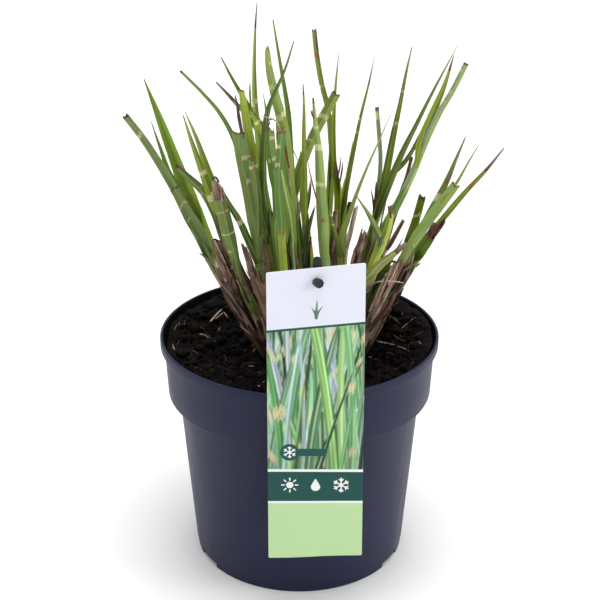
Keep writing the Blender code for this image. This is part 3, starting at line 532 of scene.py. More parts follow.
# %% [markdown]
# ## Leaves as one formula
#
# A grass leaf is one long sheet. Low down it is rolled round the stem as a sheath, and higher it opens to
# a folded blade. So one formula makes them all: across the leaf the sheet is an arc, and its opening
# angle runs from nearly a full turn to a shallow trough. Its two faces lie half a thickness off the arc,
# with the midrib standing proud below. A cut or torn end is made by stopping each column at its own place.

# %% The leaf surface
ACROSS = np.linspace(-1, 1, 13)
LEAF_ROWS = 64
POINT, CUT, FORK, TORN = "point", "cut", "fork", "torn"
RIB_WIDE, RIB_MM, RIPPLE_MM = 0.6, 0.32, 0.28
CROWN = (9.0, 4.0)


def frames(path, turn):
    """Directions across a leaf and towards its upper face: its width faces the view, turned about its
    length, and its upper face looks to the clump's middle."""
    along = unit(np.gradient(path, axis=0))
    across = unit(np.cross(along, unit(path - np.array([0, -BACK_MM, UP_MM]))))
    upper = np.cross(across, along)
    cosine, sine = np.cos(turn)[:, None], np.sin(turn)[:, None]
    across, upper = across * cosine + upper * sine, upper * cosine - across * sine
    inward = np.array([*CROWN, 0]) - path[-1]
    inward[2] = 60
    return (across, upper) if upper[-1] @ inward > 0 else (-across, -upper)


def end_cut(kind, wide, rng):
    """How far short of the tip each column ends, in mm."""
    if kind == FORK:
        fork = np.abs(np.cos(ACROSS * math.pi * 0.75 + rng.uniform(-0.3, 0.3)))
        return fork * wide * rng.uniform(0.25, 0.5)
    if kind == TORN:
        return rng.uniform(0, 1, len(ACROSS)) ** 1.5 * wide * 1.1 + np.abs(ACROSS) * wide * 0.3
    if kind == CUT:
        slant = (ACROSS * rng.uniform(-0.5, 0.5) + 0.5) * wide * 0.35
        return slant + rng.uniform(0, 0.12, len(ACROSS)) * wide
    return 0 * ACROSS


def leaf_grid(path, half, wrap, hug, thick, rise, turn, ends, phase, rows=LEAF_ROWS):
    """Two faces of a sheet along a path. Across it, at share s, the arc's angle is s * wrap / 2 and its
    radius is the half width over the sine of half the wrap; hug pulls the arc round the path."""
    dist = run_length(path)
    share = 1 - (1 - np.linspace(0, 1, rows)) ** 1.25
    along = dist[-1] * share[:, None] - ends * share[:, None] ** 9
    s = ACROSS[None, :]
    centre, side, up = (read(value, dist, along) for value in (path, *frames(path, turn + 0 * dist)))
    half, wrap, hug, thick, rise = (np.interp(along, dist, value + 0 * dist)
                                    for value in (half, wrap, hug, thick, rise))
    radius = half / np.sin(np.minimum(wrap, math.pi) / 2)
    angle = s * wrap / 2
    open_share = np.clip(2 - wrap / 1.6, 0, 1)
    ripple = RIPPLE_MM * np.sin(along / 7.5 + phase) * s ** 3 * open_share * np.minimum(half / 3, 1)
    x = radius * np.sin(angle)
    z = radius * (1 - np.cos(angle)) - hug * radius + rise * np.abs(s) ** 1.3 + ripple
    sheet = thick * (1 - 0.7 * s ** 4) / 2
    rib = RIB_MM * np.exp(-(s * half / RIB_WIDE) ** 2) * open_share * np.minimum(half / 2, 1)
    below, above = (centre + (x - way * np.sin(angle) * depth)[..., None] * side
                    + (z + way * np.cos(angle) * depth)[..., None] * up
                    for way, depth in ((-1, sheet + rib), (1, sheet - 0.5 * rib)))
    place = [np.concatenate([value, value[:, ::-1]], axis=1)
             for value in (radius * angle, along, s + 0 * along)]
    place.append(np.concatenate([0 * along, 0 * along + 1], axis=1))
    return np.concatenate([below, above[:, ::-1]], axis=1), place


print("a leaf has", 2 * len(ACROSS) * LEAF_ROWS, "points")

# %% [markdown]
# ## What each leaf looks like
#
# Each row of the tables is one leaf, from its tip down: places in the picture, its real width, how it ends
# and how it is turned, then its looks. Zebra grass carries pale cross bands; blades that were trimmed or
# dried have brown, purple or torn ends. Bands, dry ends and rust spots are given by their row in the
# picture. The depth of a leaf isn't here: it is read from the measured model, so both agree.

# %% Colours of leaves and sheaths
GREENS = dict(
    grey="#728445", olive="#7c8b2c", bright="#829326", mid="#718830", blue="#64863e", dark="#546e24",
    deep="#37561c", pale="#8ca459", soft="#8ea24c", slate="#6f8146", lime="#9fb23c", straw="#909251",
    sage="#879c61", spring="#869f3b", mist="#93a07c")
# The near-black brown is both a colour of old sheaths and litter and painted shade for the gaps between
# stems.
DRIES = dict(
    tan="#b69481", ash="#a38d7f", brown="#7a5848", umber="#3b2a22", mottled="#866553", russet="#985c3c",
    plum="#6d504f", culm="#6f7e34", bone="#d3bca4")
PALETTE = {name: linear(code) for name, code in {**GREENS, **DRIES}.items()}
print("colours:", len(PALETTE))

# %% Green shoots and cut stems
def leaf(seen, wide, end=POINT, turn=0, sheath=None, tint="mid", dry=None, bands="", rust=(), edge=0, rib=0.5,
         taper=None, rings=(), foot=None):
    """One leaf, tip first, turned about its length in degrees. Two tints lie left and right of the midrib,
    with
    painted light and shade: one folded half lit, the other shaded. A band is row:half:side, with half its
    width in mm and side -1 left, 1 right or 0 both. Edge is the side of a purple margin. Taper is the share
    of the width at the tip and how late it narrows. Rings are nodes, and foot is a row and the tint below it."""
    return dict(seen=np.array([pair.split(",") for pair in seen.split()], float), wide=wide, end=end,
                turn=math.radians(turn), sheath=sheath, half_tints_with_painted_shade=(tint.split("/") * 2)[:2], dry=dry,
                bands=[[float(part) for part in band.split(":")] for band in bands.split()], rust=rust,
                edge=edge, rib=rib, taper=taper or ((0.05, 1.7) if end == POINT else (0.78, 1)), rings=rings,
                foot=foot)


def shoot(*leaves, stem=2.5, skirts=3):
    """A shoot's leaves, its stem's radius, and how many old dry sheaths still hold to its foot."""
    return dict(leaves=leaves, stem=stem, skirts=skirts)


SHOOTS = [
    shoot(leaf("124,114 147,144 173,186 198,236 221,280", 6.6, FORK, 10, 238, "sage", 117.5, "133.5:1.5:0",
               edge=1, taper=(0.64, 1), foot=(274, "tan")),
          leaf("172,186 186,210 199,233 211,258", 8.6, CUT, -14, None, "sage", 189, "203:0.9:0 216.5:0.8:-1",
               edge=1)),
    shoot(leaf("144,79 156,108 171,146 185,182 204,226 224,270", 11.0, POINT, 18, 230, "spring", 81,
               "149:0.6:-1", rib=0.2, taper=(0.05, 2.0), foot=(264, "brown")),
          leaf("151,121 161,150 172,178 186,205", 5.6, dry=127, edge=1, taper=(0.05, 1.2))),
    shoot(leaf("174,165 188,178 203,193 214,214 226,244", 6.2, CUT, -20, 240, "slate", 168,
               "187:0.8:1 192:0.7:-1", (167,), edge=1, taper=(0.5, 4), foot=(262, "umber"))),
    shoot(leaf("185,112 196,138 207,170 217,200 229,236 240,270", 8.0, POINT, 12, 246, "spring", 114,
               taper=(0.05, 1.6), foot=(270, "brown")),
          leaf("183,115 191,140 202,171 212,198 222,228", 6.8, tint="bright", dry=119,
               bands="174:1.6:0 197:2.4:0", edge=1, taper=(0.06, 1.6))),
    shoot(leaf("214,178 221,202 228,230 235,258 244,288", 9.2, TORN, -8, 262, "grey/slate", 200,
               "211:0.7:0 233:0.8:0 248.5:0.6:0", (210.5,), edge=1, taper=(0.3, 5), foot=(275, "brown"))),
    shoot(leaf("180,71 203,94 222,117 236,146 246,190", 4.1, POINT, -10, 215, "blue/mid", 73,
               taper=(0.4, 1.7), foot=(262, "umber"))),
    shoot(leaf("237,130 241,154 247,182 253,214 258,244 262,276", 11.0, CUT, 8, 250, "grey/sage", 130.5,
               "158:1.4:1 181:1.7:1 261:0.6:0 266:0.9:0", rib=0.2, taper=(0.8, 1), foot=(284, "brown")),
          leaf("217,181 229,204 240,222 250,244 258,262", 5.0, tint="dark", dry=183, bands="222:2.2:0",
               rust=(219,), taper=(0.1, 3)),
          leaf("252,157 256,182 258,208 260,244", 7.0, FORK, 0, None, "grey", 158, "167:1.2:0", (168,)),
          stem=2.8),
    shoot(leaf("241,88 245,114 249,140 254,170 262,220", 7.2, CUT, 16, 224, "lime", 89.5, taper=(0.4, 4))),
    shoot(leaf("257,3 255,32 254,72 255,108 259,146 266,200", 7.0, POINT, -14, 196, "soft", 27, "103:1.8:0",
               taper=(0.08, 1.05)), stem=2.6),
    shoot(leaf("221,57 233,79 246,101 260,126 272,162", 6.4, POINT, 20, 200, "olive", 62, "122:1.5:-1", (72,),
               taper=(0.1, 2.0)),
          leaf("216,82 232,99 250,120 268,150", 3.2, tint="slate", dry=100, rust=(93, 98), taper=(0.3, 4))),
    shoot(leaf("267,44 270,70 276,96 283,122 288,152 291,190", 7.2, TORN, -12, 204, "soft", 46,
               "62:1.2:1 85:1.6:-1 115:2.0:0", edge=-1, taper=(0.3, 4), foot=(212, "dark"))),
    shoot(leaf("273,20 278,50 284,84 289,116 291,150 294,196", 4.8, POINT, 15, 190, "mid", 23,
               taper=(0.15, 1.6), foot=(214, "deep"))),
    shoot(leaf("294,41 286,68 277,90 269,110 265,136 264,176 267,214", 6.0, POINT, -25, 214, "dark", 47,
               taper=(0.1, 1.6))),
    shoot(leaf("269,126 271,150 275,180 277,210 277,244", 7.0, TORN, 12, 240, "dark/pale", 129,
               "138:1.2:1 160:1.4:0", (128,)),
          leaf("263,92 266,112 268,136 271,168", 3.0, tint="deep", dry=95)),
    shoot(leaf("282,130 280,158 279,190 281,216 283,256", 6.4, CUT, -10, 240, "blue", 132,
               "147:1.2:-1 165:1.3:-1 229:0.3:0", (131,), rings=(231.5, 233), foot=(233, "lime")),
          stem=2.2, skirts=2),
    shoot(leaf("281,168 286,194 291,216 294,238 295,262", 5.4, POINT, 14, 230, rib=1.3, foot=(246, "dark")),
          stem=1.5),
    shoot(leaf("303,84 304,108 304,140 305,176 305,216 306,246", 4.0, POINT, -10, 222, "bright", 95,
               "101:0.8:0", taper=(0.15, 2.2), foot=(228, "deep")), stem=1.9),
    shoot(leaf("338,92 328,110 315,134 304,160 297,184 293,218", 7.4, FORK, 10, 206, "soft", 94,
               "115:1.7:0 141:1.1:0", rib=1.0, taper=(0.85, 1), foot=(218, "dark"))),
    shoot(leaf("314,28 317,56 322,84 328,108 331,136 331,176", 4.3, FORK, 12, 186, "soft/olive", (31, 50),
               "84:1.3:0", (55, 57), edge=1)),
    shoot(leaf("339,52 336,80 334,106 333,136 334,170 338,210", 4.2, POINT, -16, 196, "bright", 54)),
    shoot(leaf("313,98 315,122 318,148 320,184 322,218 324,250 326,276", 8.4, POINT, 8, 258, "pale", 103,
               "128:1.0:0 147:2.2:0 185:1.8:0", (220,), rib=0.2, taper=(0.12, 1.9)), stem=2.9),
    shoot(leaf("375,54 369,83 361,116 355,145 349,176 344,206 341,236", 3.7, POINT, 12, 224, "olive", 84,
               "120.5:1.3:0 131.5:1.0:0"), stem=2.3),
    shoot(leaf("391,113 380,139 367,168 356,196 348,220 342,246", 4.2, POINT, -12, 244, "soft", 117,
               taper=(0.06, 0.85)),
          leaf("329,208 333,226 338,244 341,256", 4.0, dry=209, bands="215:1.0:0 225:1.0:0"), stem=2.4),
    shoot(leaf("377,106 379,130 381,160 379,190 376,220", 3.6, CUT, 20, 200, "mist", 109, "116:2.6:0",
               (109,)), stem=2.2),
    shoot(leaf("412,47 406,73 400,103 393,135 387,166 381,196 374,226", 6.4, POINT, -14, 214, "dark/olive",
               52, "60:0.6:0 91.5:0.9:0 124.5:1.4:0", (72,), taper=(0.08, 1.4), rings=(211,))),
    shoot(leaf("458,45 435,88 416,126 403,152 392,178 381,206 368,246", 7.8, POINT, 10, 232, "mid/grey", 47,
               taper=(0.04, 0.8), foot=(262, "brown")),
          leaf("433,106 421,133 409,156 398,178", 3.4, tint="dark", dry=110, rust=(131, 133), edge=-1)),
    shoot(leaf("467,62 453,90 439,114 425,144 412,176 396,207 382,232 371,260", 5.8, CUT, -10, 208,
               "mist/pale", 64.5, "71:0.8:-1 92:1.1:-1 101:1.1:-1 121:0.8:-1", taper=(0.55, 0.6),
               foot=(190, "blue")),
          leaf("454,55 444,86 431.5,116 421.5,142 413,166", 6.6, tint="bright", dry=70)),
    shoot(leaf("424,194 418,216 411,238 401,262", 6.8, FORK, 16, 252, "bright/mid", 200,
               "214:1.4:1 216:1.2:-1", rib=-1.0, foot=(256, "umber"))),
    shoot(leaf("457,184 440,206 423,228 408,250 394,276", 7.4, FORK, -6, 250, "pale", 186, rib=0.2,
               taper=(0.85, 1), foot=(260, "brown")),
          leaf("481,141 468,163 456,184 440,210", 2.4, tint="bright", dry=150)),
    shoot(leaf("466,136 456,160 446,184 434,208 421,234 405,262", 7.4, POINT, 14, 246, "grey", (142, 178),
               "195:1.3:-1 200:1.5:0", (181, 183), edge=1, taper=(0.06, 1.5), foot=(258, "mottled"))),
    shoot(leaf("504,148 487,169 467,190 448,212 430,234 412,258", 4.6, POINT, -10, 240, "olive", 171, "",
               (184, 187), edge=1, taper=(0.2, 2.0), foot=(256, "umber")), stem=2.3),
    shoot(leaf("439,221 430,238 419,254 407,274", 9.0, CUT, 8, 262, "mid", 236, "", (239,), taper=(0.7, 1),
               foot=(264, "umber"))),
    shoot(leaf("392,210 387.5,230 380,250 369,276", 6.2, CUT, -14, 268, "lime", 214, rib=1.3, taper=(0.35, 4),
               foot=(282, "umber")),
          leaf("357,197 366,210 374,224 379,242", 5.2, tint="grey", dry=202, taper=(0.08, 1.2))),
    shoot(leaf("406,243 393,254 380,264 368,277 356,296", 6.6, POINT, 10, 290, "straw", 252, rib=1.0,
               taper=(0.3, 2.4), foot=(273, "culm")), stem=2.6),
    shoot(leaf("385,241 380,256 374,274", 7.6, POINT, -20, 268, "deep"),
          leaf("403,238 392,258 380,278 372,296", 4.6, tint="dark")),
    shoot(leaf("300,150 303,190 306,225", 5.4, POINT, 15, 218, "mid", 153, "176:1.5:0")),
    shoot(leaf("276,96 279,150 286,205", 5.2, POINT, -12, 205, "olive", 99, "130:1.6:0 168:1.3:0")),
    shoot(leaf("353,140 348,172 342,208", 4.6, POINT, 10, 210, "mid", 143, "176:1.2:0", taper=(0.05, 1.0))),
]
CUT_STEMS = [
    shoot(leaf("216,239 223,262 233,286 246,314", 8.8, CUT, 10, 268, "tan")),
    shoot(leaf("216,262 226,286 240,312", 5.0, TORN, 0, 276, "ash"), stem=2.0),
    shoot(leaf("220,284 233,306 249,332", 3.6, TORN, 0, 300, "tan"), stem=1.6),
    shoot(leaf("240,280 247,298 256,316", 4.4, CUT, 0, 290, "culm", foot=(314, "tan")), stem=2.1),
    shoot(leaf("242,242 247,258 256,284", 4.6, TORN, 15, 268, "tan"), stem=2.0),
    shoot(leaf("254,272 259,288 265,306", 8.4, TORN, -10, 298, "mottled"), stem=3.0),
    shoot(leaf("262,238 266,258 269,284", 4.8, TORN, 0, 272, "tan"), stem=2.1),
    shoot(leaf("271,210 272,236 276,268", 3.0, TORN, 20, 240, "umber"), stem=1.6),
    shoot(leaf("336,210 334,238 330,270", 4.4, CUT, -10, 246, "tan"), stem=2.0),
    shoot(leaf("339,227 337,248 334,276", 3.8, CUT, 10, 256, "brown"), stem=1.8),
    shoot(leaf("350,201 345,222 339,252", 3.0, CUT, 0, 226, "umber"), stem=1.7),
    shoot(leaf("357,204 351,230 344,262", 3.6, TORN, 0, 244, "bone"), stem=1.8),
    shoot(leaf("366,228 361,244 354,266", 6.6, TORN, 8, 262, "tan"), stem=2.5, skirts=2),
    shoot(leaf("377,184 376,210 369,240", 3.0, TORN, 12, 214, "ash"), stem=1.7),
    shoot(leaf("404,219 391,242 378,264", 3.6, CUT, -10, 250, "bone"), stem=1.9),
    shoot(leaf("397,261 388,282 376,308", 5.4, CUT, 10, 276, "tan"), stem=2.6),
    shoot(leaf("405,264 398,282 386,304", 5.6, TORN, -10, 280, "umber"), stem=2.5),
    shoot(leaf("412,156 406,180 396,210", 3.0, CUT, 16, 190, "brown"), stem=1.7),
]
print("leaves listed:", sum(len(row["leaves"]) for row in SHOOTS + CUT_STEMS))

# %% [markdown]
# ## Lay each leaf on the measured model
#
# Every shoot is a node of the measured model. Its foot is the ring on the soil, and the depth of each tip
# is read from the node's points that lie nearest to it in the view. Between them the depth runs evenly.

# %% The middle line of a leaf
FOOT_SINK = 4.0
SPINE = 90


def points_of(mesh):
    """A mesh's points in mm."""
    points = np.empty(3 * len(mesh.vertices))
    mesh.vertices.foreach_get("co", points)
    return points.reshape(-1, 3) / MM


def foot_of(points):
    """The middle of the ring that stands on the soil."""
    ring = points[points[:, 2] < points[:, 2].min() + 0.05]
    return (ring.min(axis=0) + ring.max(axis=0)) / 2


def tip_depth(points, item):
    """The depth of the points that lie nearest a leaf's tip in the view."""
    away = np.linalg.norm(see(points) - item["seen"][0], axis=1)
    reach = 1.0 if item["end"] == POINT else 0.62 * item["wide"]
    near = points[away < max(reach, away.min() + 0.6), 1]
    return (near.min() + near.max()) / 2


def spine_of(item, points, trunk):
    """A leaf's middle line from its foot, or from inside its trunk, to its tip."""
    seen = item["seen"][::-1]
    depth = tip_depth(points, item)
    if trunk is None:
        foot = foot_of(points)
        foot_row = see(foot)[1]
        rows = (foot_row - seen[:, 1]) / (foot_row - seen[-1, 1])
        path = smooth_path(np.vstack([foot, lift(seen, foot[1] + (depth - foot[1]) * rows)]), SPINE)
        return np.vstack([path[0] - unit(path[1] - path[0]) * FOOT_SINK, path])
    joint = trunk[np.argmin(np.linalg.norm(see(trunk) - seen[0], axis=1))]
    rows = np.linspace(0, 1, len(seen))[1:]
    return smooth_path(np.vstack([joint, lift(seen[1:], joint[1] + (depth - joint[1]) * rows)]), SPINE)


print("foot of the first shoot, mm:", foot_of(points_of(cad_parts["shoot_01"].data)).round(1))

# %% The looks of a leaf, point by point
FAR = 60.0
END_BROWN = 1.0
EDGE_ROWS = 30
# Painted light and shade: at most this share lighter on one half of a blade and darker on the other.
PAINTED_HALF_SHADE = 0.2


def looks(item, path, grid, place, ends, seed):
    """Layers of a leaf: place on the strip, signed distances in mm to its marks, its form and colour."""
    across, along, share, upper_face = place
    dist, rows = run_length(path), np.minimum.accumulate(see(path)[:, 1])
    rng = np.random.default_rng(seed + 900)
    middle_row = see(grid[len(grid) // 2])
    right = share * np.sign(middle_row[len(ACROSS) - 1] - middle_row[0])[0]

    def at(row):
        return np.interp(-row, -rows, dist)

    band = rust = FAR + 0 * along
    for row, half, side in item["bands"]:
        shift = rng.normal(0, 0.45 * half, 2)
        middle = at(row) + np.where(right > 0, shift[0], shift[1]) - 0.3 * np.abs(across)
        band = np.minimum(band, np.abs(along - middle) - half + 5.0 * (side * right < -0.05))
    dry = dist[-1] - np.concatenate([ends, ends[::-1]]) - along - END_BROWN
    if item["dry"]:
        left_row, right_row = np.broadcast_to(item["dry"], 2)
        dry = np.minimum(dry, np.where(right > 0.1, at(right_row), at(left_row)) - along)
    if item["edge"]:
        fade = np.maximum(at(item["seen"][0, 1] + EDGE_ROWS) - along, 0) * 0.15
        dry = np.minimum(dry, (1 - item["edge"] * right) * 5.0 - 0.8 + fade)
    for index, row in enumerate(item["rust"]):
        rust = np.minimum(rust, np.hypot((along - at(row)) * 0.8, across - (index - 0.4) * 1.2) - 0.9)
    for row in item["rings"]:
        rust = np.minimum(rust, np.abs(along - at(row)) - 0.3)
    height = read(path, dist, along)[..., 2] - SOIL_TOP
    # Painted light and shade: one half of the blade is painted lighter and the other darker, as if its fold
    # faced the light.
    lit = 1 + rng.choice((-1, 1)) * rng.uniform(0.04, PAINTED_HALF_SHADE)
    left_tint, right_tint = (PALETTE[tint] * light for tint, light in zip(item["half_tints_with_painted_shade"], (lit, 2 - lit)))
    blend = ease(right / 0.24 + 0.5)[..., None]
    colour = left_tint * (1 - blend) + right_tint * blend
    if item["foot"]:
        torn = 2.0 * np.sin(2.3 * across + seed) + 1.0 * np.sin(5.1 * across + 2 * seed)
        below = ease(0.5 + (at(item["foot"][0]) - along + torn))[..., None]
        colour = colour * (1 - below) + PALETTE[item["foot"][1]] * below
    return dict(strip=np.stack([across, along, along * 0 + seed * 7.3], -1),
                marks=np.stack([band, dry, rust], -1),
                form=np.stack([upper_face, height, item["rib"] + 0 * along], -1), tint=colour)


print("a cut end is brown for", END_BROWN, "mm")

# %% Living leaves and old sheaths
LEAF_FOLD, LEAF_THICK, SHEATH_THICK = 0.42, 0.42, 0.55
BLADE_SHARE, BLADE_WRAP = 0.96, 0.95
FULL_WRAP, SIDE_WRAP, BLADE_SIDE_WRAP = (share * math.pi for share in (1.93, 1.45, 0.7))
SKIRT_TINTS = ("tan", "ash", "brown", "mottled", "umber", "brown")


def sheet_skin(item, path, seed, slot, *shape):
    """A closed sheet with its layers. The shape is what leaf_grid takes after the path."""
    grid, place = leaf_grid(path, *shape)
    return skin(grid, "strip", slot, **looks(item, path, grid, place, shape[6], seed))


def leaf_skin(item, path, stem, is_main, on_stem, seed, slot):
    """One closed leaf with its layers: a stem below its sheath row, and above it a blade that opens. A side
    leaf that leaves the stem wraps it, and one that leaves a blade starts narrow."""
    rng = np.random.default_rng(seed)
    share, wide = run_length(path) / run_length(path)[-1], item["wide"]
    opens = np.interp(-item["sheath"], -np.minimum.accumulate(see(path)[:, 1]), share) if is_main else 0.0
    blade = np.clip((share - opens) / (1 - opens), 0, 1)
    swell = ease(blade / 0.24)
    tip_share, late = item["taper"]
    start = stem if is_main else (min(1.1 * stem, 0.6 * wide) if on_stem else 0.2 * wide)
    half = (start + (BLADE_SHARE * wide / 2 - start) * swell) * (1 - (1 - tip_share) * blade ** late)
    blade_wrap = BLADE_WRAP + rng.uniform(-0.2, 0.35)
    full = FULL_WRAP if is_main else (SIDE_WRAP if on_stem else BLADE_SIDE_WRAP)
    wrap = full + (blade_wrap - full) * ease(blade / 0.3)
    thick = np.minimum(SHEATH_THICK + (LEAF_THICK - SHEATH_THICK) * swell, half * 0.8)
    turn = item["turn"] + rng.uniform(-0.25, 0.25) * blade ** 2
    ends = end_cut(item["end"], wide * 0.8, rng)
    return sheet_skin(item, path, seed, slot, half, wrap, 1 - ease(blade / 0.3), thick,
                      LEAF_FOLD * half * swell, turn, ends, rng.uniform(0, 6))


def skirt_skin(trunk, stem, seed):
    """An old dry sheath round a stem's foot: it follows the stem, opens a little and ends torn."""
    rng = np.random.default_rng(seed)
    length = rng.uniform(16, 50)
    path = read(trunk, run_length(trunk), np.linspace(0, length + FOOT_SINK, 40))
    share = np.linspace(0, 1, 40)
    item = leaf("0,0", 0, tint=SKIRT_TINTS[rng.integers(6)])
    half = stem + 0.35 + share ** 2 * rng.uniform(0.2, 1.3)
    wrap = math.pi * (rng.uniform(0.8, 1.7) - share * rng.uniform(0.1, 0.5))
    ends = rng.uniform(0, 1, len(ACROSS)) ** 2 * length * 0.45 + np.abs(ACROSS) * length * 0.15
    return sheet_skin(item, path, seed, 1, half, wrap, 1 - 0.12 * share ** 2, 0.4, 0,
                      rng.uniform(0, 2 * math.pi), ends, 0.0, 14)


print("a sheath wraps its stem by", round(math.degrees(FULL_WRAP)), "degrees")

# %% [markdown]
# ## Living leaf and dry sheath
#
# A living blade is waxy and finely ribbed: veins run along it about half a millimetre apart, the midrib
# is pale, and the cross bands have soft, ragged edges because they follow the veins. Cut ends turn purple
# and then tan as they dry. All of it reads the leaf's own layers, so the pattern bends with the leaf.

# %% Waxy leaf blade
# The tone changes in patches about 4.5 mm wide and 20 mm long, on top of the veins.
VEIN_MM = 0.55
green_leaf, tree, shader = begin("waxy leaf blade", Roughness=0.45, IOR=1.42, Specular_IOR_Level=0.2)
tint = add("Attribute", out="Color", attribute_name="tint")
layers = [add("Attribute", out="Vector", attribute_name=name) for name in ("strip", "marks", "form")]
strip = layers[0]
place, marks, form = (add("SeparateXYZ", [layer], None).outputs for layer in layers)
fine = add("VectorMath", (strip, (1 / VEIN_MM, 0.03, 1.0)), operation="MULTIPLY")
veins = add("TexNoise", {"Vector": fine, "Scale": 1.0, "Detail": 2.0})
broad = add("VectorMath", (strip, (0.22, 0.05, 1.0)), operation="MULTIPLY")
patches = add("TexNoise", {"Vector": broad, "Scale": 1.0, "Detail": 3.0})
bright = add("Math", (add("MapRange", (veins, 0.3, 0.7, 0.84, 1.14)),
                      add("MapRange", (patches, 0.3, 0.7, 0.84, 1.12))), operation="MULTIPLY")
hue = add("MapRange", (patches, 0.3, 0.7, 0.488, 0.512))
shade = add("HueSaturation", {"Hue": hue, "Value": bright, "Color": tint})
low = add("MapRange", (form[1], 6.0, 42.0, 0.92, 0.0))
middle = add("MapRange", (add("Math", [place[0]], operation="ABSOLUTE"), 0.12, 0.5, 0.5, 0.0))
middle = add("Math", (middle, form[2]), operation="MULTIPLY", use_clamp=True)
ragged = add("MapRange", (veins, 0.3, 0.7, -0.5, 0.5))
band, dry, spot = (add("Math", (mark, ragged), operation="ADD") for mark in marks)
band = add("MapRange", (band, -0.4, 0.35, 0.9, 0.0), interpolation_type="SMOOTHSTEP")
spot = add("MapRange", (spot, -0.3, 0.9, 0.85, 0.0))
cream = add("Mix", {0: veins, 6: "#c2c080", 7: "#d9d6a6"}, 2, data_type="RGBA")
ramp = add("ValToRGB", [add("MapRange", (dry, -12.0, 0.0, 0.0, 1.0))], None)
set_stops(ramp, (0.0, "#b59a8c"), (0.6, "#957a70"), (1.0, "#6a4c48"))
fibres = add("MapRange", (veins, 0.4, 0.58, 0.7, 0.0))
dead = add("Mix", {0: fibres, 6: ramp.outputs[0], 7: "#4e3931"}, 2, data_type="RGBA")
dry = add("MapRange", (dry, -0.3, 0.5, 1.0, 0.0))
for cover, colour in ((low, "#4b3d27"), (middle, "#ccd7ae"), (band, cream), (spot, "#a1583a"), (dry, dead)):
    shade = add("Mix", {0: cover, 6: shade, 7: colour}, 2, data_type="RGBA")
wire(Base_Color=shade, Roughness=add("MapRange", (veins, 0.3, 0.7, 0.38, 0.55)),
     Normal=add("Bump", {"Strength": 0.5, "Distance": 0.0002, "Height": veins}))
print("leaf blade:", len(tree.nodes), "nodes")

# %% [markdown]
# A dry sheath is papery and fibrous. Its fibres show as streaks along it, weather leaves grey and dark
# blotches, and close to the soil it is darker, nearly black.

# %% Papery dry sheath
# Fibres are a quarter of a millimetre apart, and blotches about 3 mm wide and 11 mm long.
dry_sheath, tree, shader = begin("papery dry sheath", Roughness=0.8, Specular_IOR_Level=0.3)
tint = add("Attribute", out="Color", attribute_name="tint")
strip, form = (add("Attribute", out="Vector", attribute_name=name) for name in ("strip", "form"))
fine = add("VectorMath", (strip, (4.2, 0.06, 1.0)), operation="MULTIPLY")
streaks = add("TexNoise", {"Vector": fine, "Scale": 1.0, "Detail": 4.0, "Roughness": 0.65})
broad = add("VectorMath", (strip, (0.3, 0.09, 1.0)), operation="MULTIPLY")
stains = add("TexNoise", {"Vector": broad, "Scale": 1.0, "Detail": 4.0})
shade = add("HueSaturation", {"Value": add("MapRange", (streaks, 0.34, 0.66, 0.2, 1.65)), "Color": tint})
stain = add("MapRange", (stains, 0.46, 0.62, 0.0, 0.65))
low = add("MapRange", (add("SeparateXYZ", [form], 1), 0.0, 18.0, 0.7, 0.0))
for cover, colour in ((stain, "#2f211a"), (low, "#21160f")):
    shade = add("Mix", {0: cover, 6: shade, 7: colour}, 2, data_type="RGBA")
wire(Base_Color=shade, Normal=add("Bump", {"Strength": 0.8, "Distance": 0.0003, "Height": streaks}))
print("dry sheath:", len(tree.nodes), "nodes")

# %% Grow every shoot and cut stem
trunks = []


def grow(name, piece_name, row, seed, slot):
    """One shoot on its node: its leaves, and the old sheaths round its foot."""
    points = points_of(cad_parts[name].data)
    first = row["leaves"][0]
    trunk = spine_of(first, points, None)
    trunks.append(trunk)
    skins = []
    for index, item in enumerate(row["leaves"]):
        path = spine_of(item, points, trunk) if index else trunk
        on_stem = item["seen"][-1, 1] > first["sheath"]
        skins.append(leaf_skin(item, path, row["stem"], index == 0, on_stem, seed * 10 + index, slot))
    skins += [skirt_skin(trunk, row["stem"] + 0.2 * index, seed * 10 + 5 + index)
              for index in range(row["skirts"])]
    piece = make_piece(piece_name, skins, [green_leaf, dry_sheath], 60)
    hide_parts(name)
    return len(piece.data.polygons)


faces = sum(grow(f"shoot_{k:02d}", f"green_shoot_{k:02d}", row, k, 0)
            for k, row in enumerate(SHOOTS, 1))
faces += sum(grow(f"cut_stem_{k:02d}", f"trimmed_stem_{k:02d}", row, k + 50, 1)
             for k, row in enumerate(CUT_STEMS, 1))
print("plant:", faces, "faces")

# %% [markdown]
# ## Torn strips, stubs and litter
#
# Between the stems hang torn strips of old sheath, and round the crown stand the stubs of last year's
# growth. The strips that show are laid by their places in the picture, each at the depth of the stem it
# grows beside. The near-black brown strips in the gaps at the clump's foot are painted shade. The stubs fill
# the crown from random numbers. Straw, roots and bark lie on the soil.

# %% Strips beside the stems
STRIP_ROWS, STRIP_WRAP = 14, 1.5
STRIP_THICK, STRIP_GAP, STRIP_LIFT = 0.35, 2.6, 1.2
